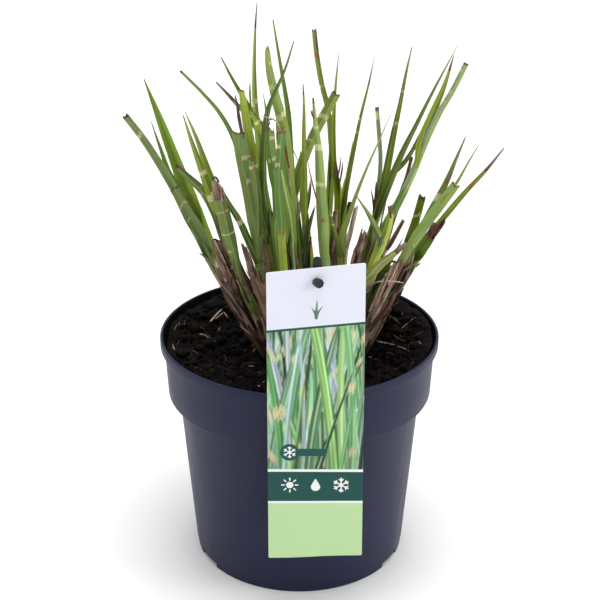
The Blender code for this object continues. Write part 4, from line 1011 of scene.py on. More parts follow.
# A row holds places from the tip down, the width and the tint. How far the strip stands in front of its
# stem may follow, and then its bands, each as row:half:side.
# Painted shade: the near-black brown strips low between the stems stand in for the shade in the gaps.
STRIPS = """
235,95 237,104 239,118 243,138 2.2 plum -5; 250,82 250,94 251,108 1.3 dark;
259,116 265,117 271,118 277,122 281,131 0.6 bone 3; 266,127 268,121 272,119 276,121 1.1 russet 2;
270,121 268,126 266,131 1.4 plum 2; 286,127 283,128 281,133 1.4 russet 2; 276,124 277,131 277,142 0.9 plum 1;
285,144 287,156 289,168 1.4 russet; 288,168 289,176 290,186 1.1 bone; 305,168 302,190 298,222 1.7 tan;
288,140 294,152 300,165 0.5 umber; 308,163 310,173 313,186 318,204 1.0 russet;
310.5,110 312,113 314,118 1.6 brown; 199,253 205,257 212,265 1.7 tan; 218,262 224,274 231,290 3.0 ash;
219,272 228,296 240,322 2.2 tan; 225,285 237,303 251,323 3.8 ash; 234,265 234,276 236,290 2.0 brown;
240,264 246,276 253,290 2.0 plum; 222,238 225,246 229,258 2.0 russet; 236,279 241,286 247,297 1.8 tan;
248,268 256,284 266,304 5.0 mottled; 254,314 259,328 265,346 3.6 tan; 262,237 265,252 268,270 2.2 tan;
266,198 267,218 268,244 1.3 umber; 270,212 271,232 273,256 2.4 brown; 291,226 293,240 294,260 2.2 brown;
303,226 305,240 308,262 2.4 tan; 311,236 309,250 307,266 2.4 mottled; 240,326 247,331 256,338 1.2 bone;
341,156 340,165 338,177 1.2 tan; 336,161 337,170 338,180 1.4 plum; 343,162 342,170 340,182 1.2 russet;
333,214 332,232 329,254 3.0 brown; 345,242 342,250 338,262 2.0 russet; 363,250 358,262 352,276 3.2 tan;
371,190 373,200 374,213 1.2 brown; 376,182 375,198 373,216 1.7 umber; 380,204 379,214 377,230 1.1 umber;
386,203 383,214 379,232 1.0 brown; 391,207 388,217 383,234 1.4 umber; 395,214 391,230 384,252 2.2 tan;
404,219 397,232 387,250 2.2 brown; 413,243 413,258 409,272 401,289 392,301 380,320 1.9 bone 22;
421,263 412,269 398,278 2.0 mottled 14; 419,262 411,266 403,271 1.1 ash 17;
399,262 394,272 388,284 1.2 bone 14; 388,262.5 393,261.5 398,263 1.4 umber 12;
392,266 386,280 378,298 1.6 tan 12; 385,275 378,292 369,312 1.3 bone 13; 403,270 396,284 388,298 1.8 umber 12;
409,262 407,270 402,280 1.0 russet 12; 404,283 393,281 382,281 374,283 366,287 0.8 bone 5;
370,277 373,281 376,286 0.8 bone 5; 382,273 377,280 370,290 1.6 tan 4; 371,285 371,296 364,316 2.0 lime 4;
399,283 391,293 384,302 2.6 deep 3; 388,283 379,298 366,320 3.0 ash 3; 393,296 382,312 368,332 3.4 brown 3;
403,291 392,303 380,319 370,336 3.6 umber 2; 379,266 373,278 366,292 3.2 tan 3;
390,308 381,321 371,338 2.6 mottled 4; 384,321 376,332 366,346 1.6 tan 5;
400,324 393,318 380,315 366,318 2.2 dark 30; 373,296 369,310 364,326 2.4 plum 3;
398,269 391,282 382,296 2.8 tan 3; 391,264 390,268 388,274 3.4 culm 6; 408,263 402,275 393,290 5.2 umber 4;
411,266 405,276 397,288 2.6 plum 5; 398,288 389,304 377,322 4.6 brown 5; 388,272 383,286 375,306 3.6 tan 5;
404,288 396,298 386,312 2.2 tan 6; 381,230 376,246 368,262 2.4 tan 3; 365,229 362,245 357,264 2.6 ash 4;
372,234 369,248 364,264 2.2 mottled 4; 357,250 356,257 354,265 1.4 umber 3;
385,320 377,333 367,348 3.6 mottled 6; 383,236 381,240 379,247 2.2 deep 4;
397,321 395,319.5 393,318.5 1.6 russet 32; 388,209 390,213 391,218 1.2 umber 2;
396,206 394,212 392,219 1.1 umber 2; 215,261 219,268 226,281 2.4 bone 6;
217,268 221,278 226,287 3.0 mottled 6; 225,274 228,282 233,292 2.6 deep 7; 220,285 229,303 241,323 2.4 tan 8;
226,287 237,304 249,322 4.6 ash 7; 222,286 231,300 243,318 1.2 umber 8.5; 245,291 250,304 255,316 3.4 dark 8;
250,291 255,303 261,318 2.4 dark 7; 252,313 253.5,316 255,320 3.6 tan 9;
254,317 259,331 265,347 3.6 mottled 9; 261,316 264,326 267,340 1.6 tan 9; 238,278 245,287 250,297 2.4 tan 7;
231,266 234,275 236,285 1.4 russet 7; 241,267 247,278 254,290 2.4 plum 7;
256,274 261,286 267,302 5.2 mottled 7; 242,326 249,333 262,344 1.3 tan 9; 246,322 254,333 265,346 2.6 umber 8;
252,262 256,276 262,290 2.2 umber 5; 259,237 262,248 265,262 1.8 tan 3;
247,107 256,119 265,134 271,152 5.8 olive -25 121:1.2:0; 311,180 309,196 304,222 3.0 deep -6;
315,206 311,220 306,240 3.2 dark -6; 302,192 298,212 292,232 286,264 3.4 dark 2 206:0.8:0 220:0.6:0;
308,214 306,236 305,264 2.8 deep 4; 296,234 297,250 298,267 2.6 brown 8;
300,243 300.5,254 301,267 1.6 umber 9; 293,246 293,256 292,267 1.6 tan 9;
272,222 272,240 273,262 1.8 umber 10; 268.5,208 269,226 270,246 1.2 umber 10;
265,240 267,252 269,270 2.6 mottled 10; 274,236 275,250 276,266 1.6 mottled 10;
231,268 238,286 248,314 256,335 2.6 umber 20; 250,286 256,302 261,320 2.0 umber 18;
288,250 290,259 291,270 2.4 brown 8; 303,247 304,258 305,270 2.6 tan 10; 309,250 309,260 308,270 2.0 umber 10;
296,254 297,262 297,272 1.8 mottled 14; 238,279 243,290 249,303 1.6 umber 9.5;
226,262 231,272 236,284 1.8 umber 9; 212,241 215,239.5 219,242 1.4 umber 6;
214,240 221,254 229,272 1.0 bone 8; 212,181 215,177 219,182 1.3 umber 3; 216,181 218,188 220,197 1.3 russet 3;
219,185 221,193 222,201 1.3 bone 3; 222,186 224,193 226,201 1.1 ash 3; 217,184 220,191 224,199 0.7 umber 3.6;
392,204 390,208 389,213 1.6 russet 7; 388,205 389,210 390,215 1.2 plum 7; 211,240 216,250 223,264 2.0 bone 5;
219,240 224,252 231,268 2.2 brown 6; 222,262 229,276 237,292 1.3 bone 8; 233,262 233,272 231,284 1.2 russet 8;
236,281 241,289 245,299 1.3 bone 8; 255,284 259,298 264,312 1.2 bone 8; 259,270 262,282 265,296 1.5 umber 8;
247,318 255,331 264,345 1.2 bone 10; 248,250 252,262 256,276 1.2 brown 6; 266,240 268,252 269,266 1.4 plum 4;
445,219 438,228 430,238 5.2 umber 3; 442,220 436,228 429,239 1.6 russet 4; 446,221 441,228 434,236 1.2 tan 4;
386,258 381,274 373,298 4.4 deep 3; 392,285 383,302 371,322 1.0 bone 6; 393,301 384,314 373,332 1.0 tan 7;
384,320 378,330 370,343 1.1 bone 8; 394,272 388,284 381,298 1.0 umber 7; 406,268 400,279 392,291 1.0 bone 6;
370,232 367,246 363,260 1.0 umber 5; 364,240 361,251 358,263 0.9 bone 5; 376,240 372,251 368,262 0.9 umber 5;
214,243 219,254 227,270 1.6 tan 5; 219,245 225,259 233,276 1.4 umber 5; 230,290 240,305 251,321 1.0 umber 9;
245,268 252,281 260,296 1.2 tan 8"""


def rows_of(table):
    """The rows of a table in text, split by semicolons: the places, the width, the tint and what follows."""
    for words in (row.split() for row in table.split(";")):
        count = sum("," in word for word in words)
        yield " ".join(words[:count]), float(words[count]), *words[count + 1:]


def beside_stem(seen, forward):
    """A strip's path: at each of its rows it takes the depth of the stem nearest its foot, less its lift."""
    stem = min(trunks, key=lambda trunk: np.linalg.norm(see(trunk) - seen[0], axis=1).min())
    depth = np.interp(-seen[:, 1], -np.minimum.accumulate(see(stem)[:, 1]), stem[:, 1])
    return smooth_path(lift(seen, depth - STRIP_GAP - forward * np.linspace(0.6, 1.4, len(seen))), 40)


def strip_skin(seed, seen, wide, tint, forward=STRIP_LIFT, *bands):
    """A torn sheet along a path: rolled a little, narrower at both ends, with a ragged tip."""
    rng = np.random.default_rng(seed)
    item = leaf(seen, wide, tint=tint, bands=" ".join(bands))
    path = beside_stem(item["seen"][::-1], float(forward))
    share = run_length(path) / run_length(path)[-1]
    half = wide / 2 * (0.7 + 0.3 * np.sin(math.pi * share)) * (1 - 0.5 * share ** 3)
    wrap = STRIP_WRAP + rng.uniform(-0.6, 0.8)
    turn = rng.uniform(-0.5, 0.5) + rng.uniform(-0.8, 0.8) * share
    ends = rng.uniform(0, 1, len(ACROSS)) ** 2 * wide * 1.6
    return sheet_skin(item, path, seed, int(tint in DRIES), half, wrap, 0.3,
                      np.minimum(STRIP_THICK, half * 0.6), 0, turn, ends, rng.uniform(0, 6), STRIP_ROWS)


strips = make_piece("torn_strips", [strip_skin(200 + k, *row) for k, row in enumerate(rows_of(STRIPS))],
                    [green_leaf, dry_sheath], 60)
print("strips:", len(strips.data.polygons), "faces")

# %% Old stubs round the crown
STUBS = 140
STUB_RING = (4.0, 35.0)
STUB_LENGTHS = (14.0, 50.0)
FRONT_STUB = 30.0
STUB_TINTS = SKIRT_TINTS + ("umber",)


def stub_skin(seed):
    """A hollow stub: a rolled sheet that leans out the more the farther it stands from the crown's middle."""
    rng = np.random.default_rng(seed)
    around = rng.uniform(0, 2 * math.pi)
    radius = math.sqrt(rng.uniform(STUB_RING[0] ** 2, STUB_RING[1] ** 2))
    out = np.array([math.cos(around), math.sin(around), 0])
    length = rng.uniform(*STUB_LENGTHS)
    if out[1] < 0.1:
        length = min(length, rng.uniform(0.6, 1.2) * FRONT_STUB)
    lean = 0.08 + 0.42 * (radius / STUB_RING[1]) ** 1.3 + rng.uniform(-0.08, 0.08)
    share = np.linspace(0, 1, 24)
    side = np.array([-out[1], out[0], 0]) * rng.uniform(-0.2, 0.2)
    path = np.array([*CROWN, SOIL_TOP - 3]) + radius * out + length * (
        share[:, None] * np.array([0, 0, 1.0]) * math.cos(lean)
        + (0.7 * share + 0.3 * share ** 2)[:, None] * (out + side) * math.sin(lean))
    half = rng.uniform(0.4, 1.7) * (1 + 0.15 * share)
    wrap = rng.uniform(1.0, 1.85) * math.pi
    ends = rng.uniform(0, 1, len(ACROSS)) ** 2 * length * rng.uniform(0.05, 0.4)
    item = leaf("0,0", 0, tint=STUB_TINTS[rng.integers(7)])
    return sheet_skin(item, path, seed, 0, half, wrap, 0.9, 0.45, 0, rng.uniform(0, 6), ends, 0.0, 9)


stubs = make_piece("old_stubs", [stub_skin(400 + k) for k in range(STUBS)], [dry_sheath], 60)
print("stubs:", len(stubs.data.polygons), "faces")

# %% Straw, roots and bark on the soil
LITTER_RING = 86.5
THROWN_RING, THROWN_LIMIT = 86, 87
FIBRES, FLAKES = 520, 60
LITTER = """
210,322 216,315 222,309 0.75 bone; 215,319 219,316 224,312 0.5 tan; 224,312 226,315 229,319 0.4 tan;
199,334 204,335 209,338 0.7 tan; 211,340 214,341 217,342 0.7 tan; 185,313 189,313 193,312 0.8 brown;
218,331 220,328 221,326 0.6 ash; 165,323 170,325 172,331 0.4 brown; 175,321 178,322 179,326 0.3 brown;
185,320 184,324 180,327 0.3 ash; 164,344 167,346 168,351 0.5 tan; 248,366 251,366 254,366 0.5 tan;
253,352 256,348 260,344 0.6 tan; 252,339 253,342 253,346 0.6 straw; 258,387 261,384 265,381 0.9 tan;
376,341 385,343 395,345 0.7 bone; 397,346 403,348 409,351 0.6 tan;
388,334 394,335 401,340 407,341 414,345 0.4 brown; 416,317 410,321 400,330 0.45 tan;
398,328 399,332 401,337 0.4 brown; 400,309 402,312 402,316 0.35 brown; 386,352 390,353 394,355 0.35 brown;
368,357 370,357 371,358 0.6 tan; 417,342 419,342 421,344 0.4 ash; 240,358 243,356 247,356 0.3 brown;
192,350 197,353 199,358 0.3 brown"""


def on_soil(seen, above):
    """Points in mm on the soil that are seen at the given places, found by a few steps of its height."""
    up = (CENTRE_PX[1] - seen[:, 1]) / FOCAL_PX
    height = SOIL_TOP
    for _ in range(4):
        run = (height + above - UP_MM) / (up * math.cos(TILT) - math.sin(TILT))
        points = lift(seen, run * (math.cos(TILT) + up * math.sin(TILT)) - BACK_MM)
        height = soil_height(points[:, 0], points[:, 1])
    points[:, :2] *= np.minimum(1, LITTER_RING / np.hypot(points[:, 0], points[:, 1]))[:, None]
    return points


def litter_skin(path, half, flat, tint, rows=9):
    """A flattened round bar in one colour along a path that lies on the soil, thinner at its ends."""
    path, around, upright = smooth_path(path, rows), turns(6), np.array([0, 0, 1.0])
    size = half * np.maximum(1 - np.abs(2 * np.linspace(0, 1, rows) - 1) ** 6, 0.25)
    side = unit(np.cross(np.gradient(path, axis=0), upright))
    grid = (path[:, None] + (size[:, None] * np.cos(around))[..., None] * side[:, None]
            + (flat * size[:, None] * np.sin(around))[..., None] * upright)
    return skin(grid, strip=grid * (3, 3, 0), marks=0 * grid + FAR, form=0 * grid + (0, FAR, 0),
                tint=PALETTE[tint] + 0 * grid)


def random_litter(seed, is_flake):
    """A short curved fibre, or a flat flake of bark, thrown on the soil."""
    rng = np.random.default_rng(seed)
    radius = THROWN_RING * math.sqrt(rng.uniform(0.16, 0.97))
    around, heading = rng.uniform(0, 6.28), rng.uniform(0, 6.28)
    length = rng.uniform(1.5, 4) if is_flake else rng.uniform(2.5, 11)
    share = np.linspace(-0.5, 0.5, 5)
    bend = 0 if is_flake else rng.uniform(-0.35, 0.35)
    curve = bend * share ** 2
    x = radius * math.cos(around) + length * (share * math.cos(heading) - curve * math.sin(heading))
    y = radius * math.sin(around) + length * (share * math.sin(heading) + curve * math.cos(heading))
    x, y = (value * np.minimum(1, THROWN_LIMIT / np.hypot(x, y)) for value in (x, y))
    half = rng.uniform(0.4, 0.9) if is_flake else rng.uniform(0.09, 0.2)
    path = np.stack([x, y, soil_height(x, y) + half * 0.6 + rng.uniform(0, 0.8)], -1)
    tint = "umber" if rng.integers(5) < 4 else "brown"
    return litter_skin(path, half, 0.4 if is_flake else 1.0, tint, 5)


litter_skins = [litter_skin(on_soil(leaf(seen, 0)["seen"], half + 0.5), half, 0.6, tint)
                for seen, half, tint in rows_of(LITTER)]
litter_skins += [random_litter(1000 + k, False) for k in range(FIBRES)]
litter_skins += [random_litter(3000 + k, True) for k in range(FLAKES)]
litter = make_piece("soil_litter", litter_skins, [dry_sheath])
print("litter:", len(litter.data.polygons), "faces")

# %% [markdown]
# ## The plant card
#
# A plant card is a stiff laminated sheet, printed in one pass. The sheet is made flat on a fine grid, so
# that its hole can be cut and its print laid out in plain millimetres. Then it is bent to its place. The
# print holds plain zones, painted banded blades, a badge, a small sprig and three care signs, with no words.
# Signs are stored as distances to their outlines: a distance stays sharp between the points of a grid.

# %% The flat sheet and its hole
CARD_CORNERS = np.array([[(-19.8, -101.2, 249.0), (40.1, -88.5, 250.0)],
                         [(-20.2, -98.2, 45.0), (40.9, -96.0, 45.6)]])
CARD_WIDE, CARD_HIGH, CARD_THICK = 61.0, 204.5, 0.45
CARD_CORNER = 0.9
WAVE_MM, WAVE_PITCH, WAVE_START = 0.35, 9, 150
CARD_HOLE, CARD_HOLE_RADIUS = (0.503, 0.0455), 2.7
RULE_TOP, FOOT_TOP = 0.187, 0.797
PICTURE_SHARES = (0.195, 0.678)
SIGNS_SHARES = (0.685, 0.790)
PRINT_TWIST = 0.011
PICTURE_TOP, PICTURE_BOTTOM = (share * CARD_HIGH for share in PICTURE_SHARES)
SIGNS_BOTTOM = SIGNS_SHARES[1] * CARD_HIGH
FINE_STEP, COARSE_STEP, CARD_COLUMNS = 0.62, 1.3, 100


def card_point(across, down):
    """A point of the card's middle sheet in mm, blended between its four corners."""
    across, down = np.asarray(across)[..., None], np.asarray(down)[..., None]
    top, bottom = (left * (1 - across) + right * across for left, right in CARD_CORNERS)
    return top * (1 - down) + bottom * down


def card_normal(down):
    """The card's direction away from the pot at a share of its height."""
    normal = unit(np.cross(card_point(1, down) - card_point(0, down), np.array([0.0, 0, 1])))
    return normal * np.where(normal[..., 1:2] > 0, -1, 1)


near_edge = np.array([0, 0.06, 0.2, 0.5, CARD_CORNER])
down = np.r_[near_edge, np.arange(CARD_CORNER, PICTURE_TOP, COARSE_STEP)[1:],
             np.arange(PICTURE_TOP, SIGNS_BOTTOM, FINE_STEP),
             np.arange(SIGNS_BOTTOM, CARD_HIGH - CARD_CORNER, COARSE_STEP),
             CARD_HIGH - near_edge[::-1]][:, None]
from_end = np.minimum(down, CARD_HIGH - down)
inset = CARD_CORNER - np.sqrt(CARD_CORNER ** 2 - np.maximum(CARD_CORNER - from_end, 0) ** 2)
share = np.linspace(0, 1, CARD_COLUMNS)
front = np.stack(np.broadcast_arrays(inset + (CARD_WIDE - 2 * inset) * share, -CARD_THICK / 2, -down), -1)
back = front[:, ::-1] * np.array([1, -1, 1])
print("card sheet:", len(down), "rows")

# %% Painted blades in the print
PICTURE_BLADES, PICTURE_SEED = 190, 7
BLADE_INKS = ("#4c8653", "#62a263", "#7fb47f", "#98c5a0", "#acd1c5", "#34593d", "#8dba70", "#c9dae6",
              "#5d9068")
SOFT_EDGE = 0.8


def over(ink, other, cover):
    """Another ink laid over an ink by its cover."""
    return ink * (1 - cover[..., None]) + other * cover[..., None]


def painted_blades(x, y):
    """Ink over the picture: curved blades painted one over another, some banded, each lit from one side, and
    darker towards their feet."""
    rng = np.random.default_rng(PICTURE_SEED)
    ink = over(linear("#e6e6f8"), linear("#1d4a26"), ease((y - PICTURE_TOP) / 50))
    rise = (PICTURE_BOTTOM + 6 - y) / (PICTURE_BOTTOM - PICTURE_TOP)
    for order in np.arange(PICTURE_BLADES) / PICTURE_BLADES:
        foot, lean, curl = rng.uniform(-14, CARD_WIDE + 14), rng.normal(0, 14), rng.uniform(-11, 11)
        half = rng.uniform(0.7, 2.8) * (0.75 + 0.4 * order)
        reach = rng.uniform(0.7, 2.0)
        local = half * np.sqrt(np.clip(1 - (rise / reach) ** 3, 0, 1))
        off = x - foot - lean * rise - curl * rise ** 2
        cover = ease((local - np.abs(off)) / SOFT_EDGE + 0.5) * ease((reach - rise) * 40)
        colour = linear(BLADE_INKS[rng.integers(len(BLADE_INKS))]) * rng.uniform(0.5, 1.25)
        streak = 1 + 0.28 * np.sin(2.6 * off + rng.uniform(0, 6))
        streak += 0.14 * np.sin(1.3 * off + 0.06 * y + rng.uniform(0, 6))
        shade = ((1 + rng.choice((-0.35, 0.35)) * off / half) * streak)[..., None] * colour
        pale = 0.6 * np.exp(-(off / 0.6) ** 2) * (rng.uniform() < 0.5) * ease(local - 1)
        slant, pitch, start = rng.uniform(-1.2, 1.2), rng.uniform(34, 60), rng.uniform(0, 1)
        wave = np.abs(((y + slant * off) / pitch + start) % 1 - 0.5)
        ragged = 0.03 * np.sin(3.7 * off) + 0.02 * np.sin(8.3 * off)
        stripe = 0.8 * ease((0.1 - wave + ragged) * 18) * (rng.uniform() < 0.5)
        ink = over(ink, over(over(shade, linear("#d8ecc0"), pale), linear("#e3d7a4"), stripe), cover)
    gloom = 1 - 0.35 * ease((0.45 - rise) * 2.6) * (0.6 + 0.4 * np.sin(0.55 * x + 0.08 * y))
    return np.clip(ink * gloom[..., None], 0, 1)


print("painted blades:", PICTURE_BLADES, "in", len(BLADE_INKS), "inks")

# %% Care signs as distances
SIGN_DOWN = 0.735 * CARD_HIGH
SIGN_ACROSS = (14.0, 30.5, 47.0)
BADGE, BADGE_DISC = (13.9, 0.618 * CARD_HIGH), 6.1
BADGE_BAR = (16.0, 37.0, 2.7)
SPRIG_FOOT = (30.5, 33.5)


def ways(count):
    """Even directions round a point."""
    return np.stack([np.sin(turns(count)), np.cos(turns(count))], -1)


def bar(x, y, start, end, half):
    """Distance to a round-ended bar: to the nearest point of its middle line, less half its width."""
    way = np.subtract(end, start)
    share = np.clip(((x - start[0]) * way[0] + (y - start[1]) * way[1]) / (way @ way), 0, 1)
    return np.hypot(x - start[0] - share * way[0], y - start[1] - share * way[1]) - half


def flake(x, y, size):
    """Distance to a six-armed flake with a small fork on every arm."""
    arms = [bar(x, y, (0, 0), way * size, 0.09 * size) for way in ways(6)]
    forks = [bar(x, y, way * size * 0.55, (way * 0.85 + hand * way[::-1] * (1, -1) * 0.28) * size,
                 0.075 * size)
             for way in ways(6) for hand in (-1, 1)]
    return np.minimum.reduce(arms + forks)


def sun(x, y, size):
    """Distance to a disc with eight short rays."""
    rays = [bar(x, y, way * size * 0.68, way * size, 0.09 * size) for way in ways(8)]
    return np.minimum.reduce([np.hypot(x, y) - 0.45 * size, *rays])


def drop(x, y, size):
    """Distance to a drop: a disc with a cone above it."""
    cone = np.where(y > 0.05 * size, FAR, np.abs(x) * 0.88 - (y + size) * 0.47)
    return np.minimum(np.hypot(x, y - 0.28 * size) - 0.6 * size, cone)


def sprig(x, y):
    """Distance to three thin curved blades that spread from one foot."""
    blades = []
    for lean, height in ((-5.5, 11.0), (0.8, 14.5), (6.5, 10.5)):
        share = np.clip(-y / height, 0, 1)
        off = np.abs(x - lean * share ** 1.8)
        past = np.maximum(y, -y - height)
        blades.append(np.where(past > 0, np.hypot(off, past), off - 0.95 * (1 - share) ** 0.7))
    return np.minimum.reduce(blades)


print("signs and badge, mm down the card:", round(SIGN_DOWN, 1), round(BADGE[1], 1))

# %% Laminated card print
# The film over the ink is glossy but thin: a faint coat, and waves about 17 mm wide in its highlights.
card_print, tree, shader = begin("laminated card print", Roughness=0.4, IOR=1.5, Specular_IOR_Level=0.2,
                                 Coat_Weight=0.06, Coat_Roughness=0.25)
sheet, signs = (add("SeparateXYZ", [add("Attribute", out="Vector", attribute_name=name)], None).outputs
                for name in ("sheet", "signs"))
picture = add("Attribute", out="Color", attribute_name="picture")
zones = add("ValToRGB", [sheet[1]], None)
zones.color_ramp.interpolation = "CONSTANT"
set_stops(zones, (0, "#eceefc"), (RULE_TOP, "#1f5b48"), (PICTURE_SHARES[0], "#eceefc"),
          (PICTURE_SHARES[1], "#f4f8f4"), (SIGNS_SHARES[0], "#17504a"), (SIGNS_SHARES[1], "#f4f8f4"),
          (FOOT_TOP, "#c1e2a8"))
inside = add("Math", (sheet[1], sum(PICTURE_SHARES) / 2, (PICTURE_SHARES[1] - PICTURE_SHARES[0]) / 2),
             operation="COMPARE")
inside = add("Math", (inside, sheet[2]), operation="MULTIPLY")
shade = add("Mix", {0: inside, 6: zones.outputs[0], 7: picture}, 2, data_type="RGBA")
for distance, ink in ((signs[1], "#1c5552"), (signs[2], "#5c7f66"), (signs[0], "#f2f6f2")):
    cover = add("MapRange", (distance, -0.06, 0.06, 1.0, 0.0))
    shade = add("Mix", {0: cover, 6: shade, 7: ink}, 2, data_type="RGBA")
wave = add("TexNoise", {"Vector": add("TexCoord", out="Object"), "Scale": 60.0})
wire(Base_Color=shade, Normal=add("Bump", {"Strength": 0.1, "Distance": 0.0005, "Height": wave}))
print("card print:", len(tree.nodes), "nodes")

# %% Cut the hole, lay out the print, bend the card
flat_sheet = skin(np.concatenate([front, back], axis=1), "strip")
card = make_piece("printed_card", [flat_sheet], [card_print])
hole_place = (CARD_HOLE[0] * CARD_WIDE, 0, -CARD_HOLE[1] * CARD_HIGH)
cut(card, [drill(hole_place, CARD_HOLE_RADIUS, 6, (math.pi / 2, 0, 0))])
x, through, high = points_of(card.data).T
down = -high / CARD_HIGH
twist = PRINT_TWIST * np.sin(math.pi * np.clip((down - 0.2) / 0.8, 0, 1))
y = -high - CARD_HIGH * twist * (2 * x / CARD_WIDE - 1)
is_front = (through < 0).astype(float)
white = np.minimum.reduce([
    sun(x - SIGN_ACROSS[0], y - SIGN_DOWN, 5.2), drop(x - SIGN_ACROSS[1], y - SIGN_DOWN, 5.0),
    flake(x - SIGN_ACROSS[2], y - SIGN_DOWN, 5.2), flake(x - BADGE[0], y - BADGE[1], 4.1)])
badge = np.maximum(np.abs(y - BADGE[1]) - BADGE_BAR[2],
                   np.abs(x - sum(BADGE_BAR[:2]) / 2) - (BADGE_BAR[1] - BADGE_BAR[0]) / 2)
badge = np.minimum(badge, np.hypot(x - BADGE[0], y - BADGE[1]) - BADGE_DISC)
signs = np.stack([white, badge, sprig(x - SPRIG_FOOT[0], y - SPRIG_FOOT[1])], -1)
set_layer(card.data, "sheet", np.stack([x, y / CARD_HIGH, is_front], -1))
set_layer(card.data, "signs", signs + FAR * (1 - is_front[:, None]))
set_layer(card.data, "picture", painted_blades(x, y))
wavy = WAVE_MM * np.sin(x / WAVE_PITCH) * ease((-high - WAVE_START) / 60)
bent = card_point(x / CARD_WIDE, down) - (through - wavy)[:, None] * card_normal(down)
card.data.vertices.foreach_set("co", (bent * MM).astype(np.float32).ravel())
card.data.update()
card.data.set_sharp_from_angle(angle=math.radians(50))
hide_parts("card")
print("card:", len(card.data.polygons), "faces")

# %% [markdown]
# ## The stake and its peg
#
# The card hangs on a moulded stake. Its section is a flat bar with round edges, carried along the stake's
# bent path, and its top is a half round. The peg through the hole is a small turned knob.

# %% Stake and peg
STAKE_WIDE, STAKE_THICK, STAKE_ROWS = 5.4, 1.5, 80
STAKE_PATH = ((9.2, -76, 100), (9.5, -79.6, 124), (9.9, -89.8, 163), (10.7, -92.4, 255.5))
PEG_NECK, PEG_HEAD = 2.1, 2.9
PEG_HEIGHTS = (-2.4, 0.2, 0.9, 1.0, 1.3, 4.6, 5.0, 5.0, 4.9)
PEG_TILT = (0.2, 0, 0.15)


def bar_grid(path, half, thick):
    """A flat bar with round edges along a path, facing -Y: a superellipse of width and thickness."""
    x, z = (np.sign(wave) * np.abs(wave) ** power
            for wave, power in ((np.cos(turns(24)), 0.35), (np.sin(turns(24)), 0.45)))
    side = np.array([1.0, 0, 0]) + 0 * path
    out = np.cross(unit(np.gradient(path, axis=0)), side)
    return (path[:, None] + (half[:, None] * x)[..., None] * side[:, None]
            + (thick / 2 * z)[:, None] * out[:, None])


def turned_skin(start, direction, radii, heights, columns):
    """A turned shape: a circle of each radius at each height along a direction."""
    way = unit(direction)
    side = unit(np.cross(way, (0, 0, 1.0)))
    around = turns(columns)[:, None]
    circle = np.cos(around) * side + np.sin(around) * np.cross(way, side)
    return skin(start + np.array(radii)[:, None, None] * circle + np.array(heights)[:, None, None] * way)


stake_line = smooth_path(np.array(STAKE_PATH, float), 200)
stake_run = run_length(stake_line)
stake_line = read(stake_line, stake_run,
                  stake_run[-1] * np.sin(np.linspace(0, math.pi / 2, STAKE_ROWS)) ** 0.8)
to_top = run_length(stake_line)[-1] - run_length(stake_line)
stake_half = STAKE_WIDE / 2 * (1 - np.clip(1 - to_top / (STAKE_WIDE / 2), 0, 0.98) ** 3) ** 0.5
peg_radii = [PEG_NECK, PEG_NECK, PEG_NECK * 1.05]
peg_radii += [PEG_HEAD * share for share in (0.95, 1.0, 1.0, 0.92, 0.9, 0.1)]
peg = turned_skin(card_point(*CARD_HOLE), card_normal(CARD_HOLE[1]) + np.array(PEG_TILT), peg_radii,
                  PEG_HEIGHTS, 8)
print("stake length, mm:", round(to_top[0], 1))

# %% Moulded stake plastic
# The stake is the same kind of plastic, nearly black, with a grain of about 1 mm.
stake_plastic, tree, shader = begin("moulded stake plastic", Roughness=0.42, IOR=1.49)
grain = add("TexNoise", {"Vector": add("TexCoord", out="Object"), "Scale": 900.0, "Detail": 3.0})
wire(Base_Color=add("Mix", {0: grain, 6: "#0d0d13", 7: "#1b1c27"}, 2, data_type="RGBA"),
     Normal=add("Bump", {"Strength": 0.3, "Distance": 0.0001, "Height": grain}))
stake = make_piece("stake_with_peg", [skin(bar_grid(stake_line, stake_half, STAKE_THICK)), peg],
                   [stake_plastic], 40)
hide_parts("card_stake")
print("stake:", len(stake.data.polygons), "faces")

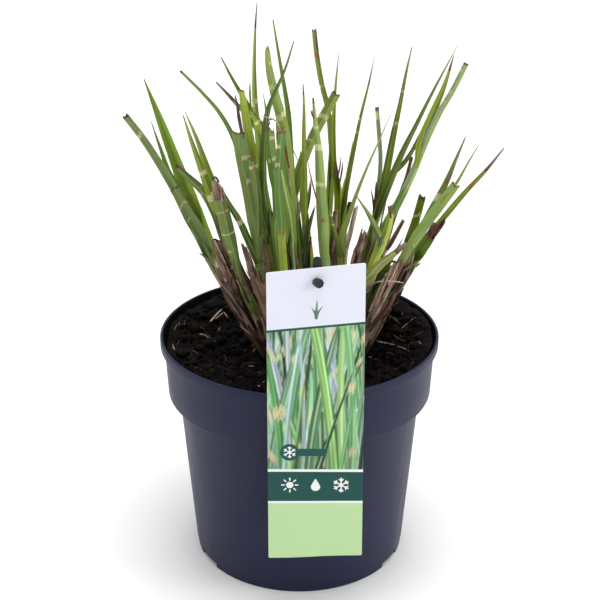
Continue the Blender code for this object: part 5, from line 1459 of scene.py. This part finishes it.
# %% [markdown]
# ## The floor and the light
#
# A pale floor and a bright, even room keep the colours honest. Two soft lamps at the sides draw the long
# pale edges on the pot, one above lights the leaves, and one behind evens out the far floor.

# %% Floor, room and lamps
FLOOR_M = 4.0
# Matt paper mirrors nothing, and its tooth is about 3 mm so that it just shows.
paper, tree, shader = begin("matt paper floor", Roughness=0.9)
tooth = add("TexNoise", {"Vector": add("TexCoord", out="Object"), "Scale": 300.0})
wire(Base_Color=add("Mix", {0: tooth, 6: "#f8f8f8", 7: "#fcfcfc"}, 2, data_type="RGBA"))
floor_mesh = bpy.data.meshes.new("floor")
corners = [(-FLOOR_M, -FLOOR_M, 0), (FLOOR_M, -FLOOR_M, 0), (FLOOR_M, FLOOR_M, 0), (-FLOOR_M, FLOOR_M, 0)]
floor_mesh.from_pydata(corners, [], [(0, 1, 2, 3)])
floor_mesh.materials.append(paper)
floor = show("floor", floor_mesh)
floor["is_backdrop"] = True


def lamp(name, place_m, size_m, watts, target_m=(0, 0, 0.18)):
    """A square soft lamp that looks at the clump's middle, or at another target."""
    item = show(name, bpy.data.lights.new(name, "AREA"))
    item.data.size, item.data.energy = size_m, watts
    item.location = place_m
    item.rotation_euler = (Vector(target_m) - Vector(place_m)).to_track_quat("-Z", "Y").to_euler()


lamp("left_lamp", (-1.3, -0.3, 0.7), 0.8, 4)
lamp("right_lamp", (1.3, -0.5, 0.7), 0.8, 8)
lamp("top_lamp", (0.1, -0.1, 1.9), 1.2, 20)
lamp("back_lamp", (0, 1.9, 1.6), 1.6, 18, (0, 2.2, 0))
world = bpy.data.worlds.new("bright room")
world.use_nodes = True
tree, background = world.node_tree, world.node_tree.nodes["Background"]
facing = add("SeparateXYZ", [add("TexCoord", out="Generated")], 1)
tree.links.new(add("MapRange", (facing, -1.0, -0.1, 0.28, 0.64)), background.inputs["Strength"])
background.inputs["Color"].default_value = (1, 1, 1, 1)
bpy.context.scene.world = world
bpy.context.scene.view_settings.view_transform = "Standard"
print("lamps:", len(bpy.data.lights))

# %% Measure the visual box and finish
low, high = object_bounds()
print("visual box, mm:", [round(1000 * v) for v in (*low, *high)])
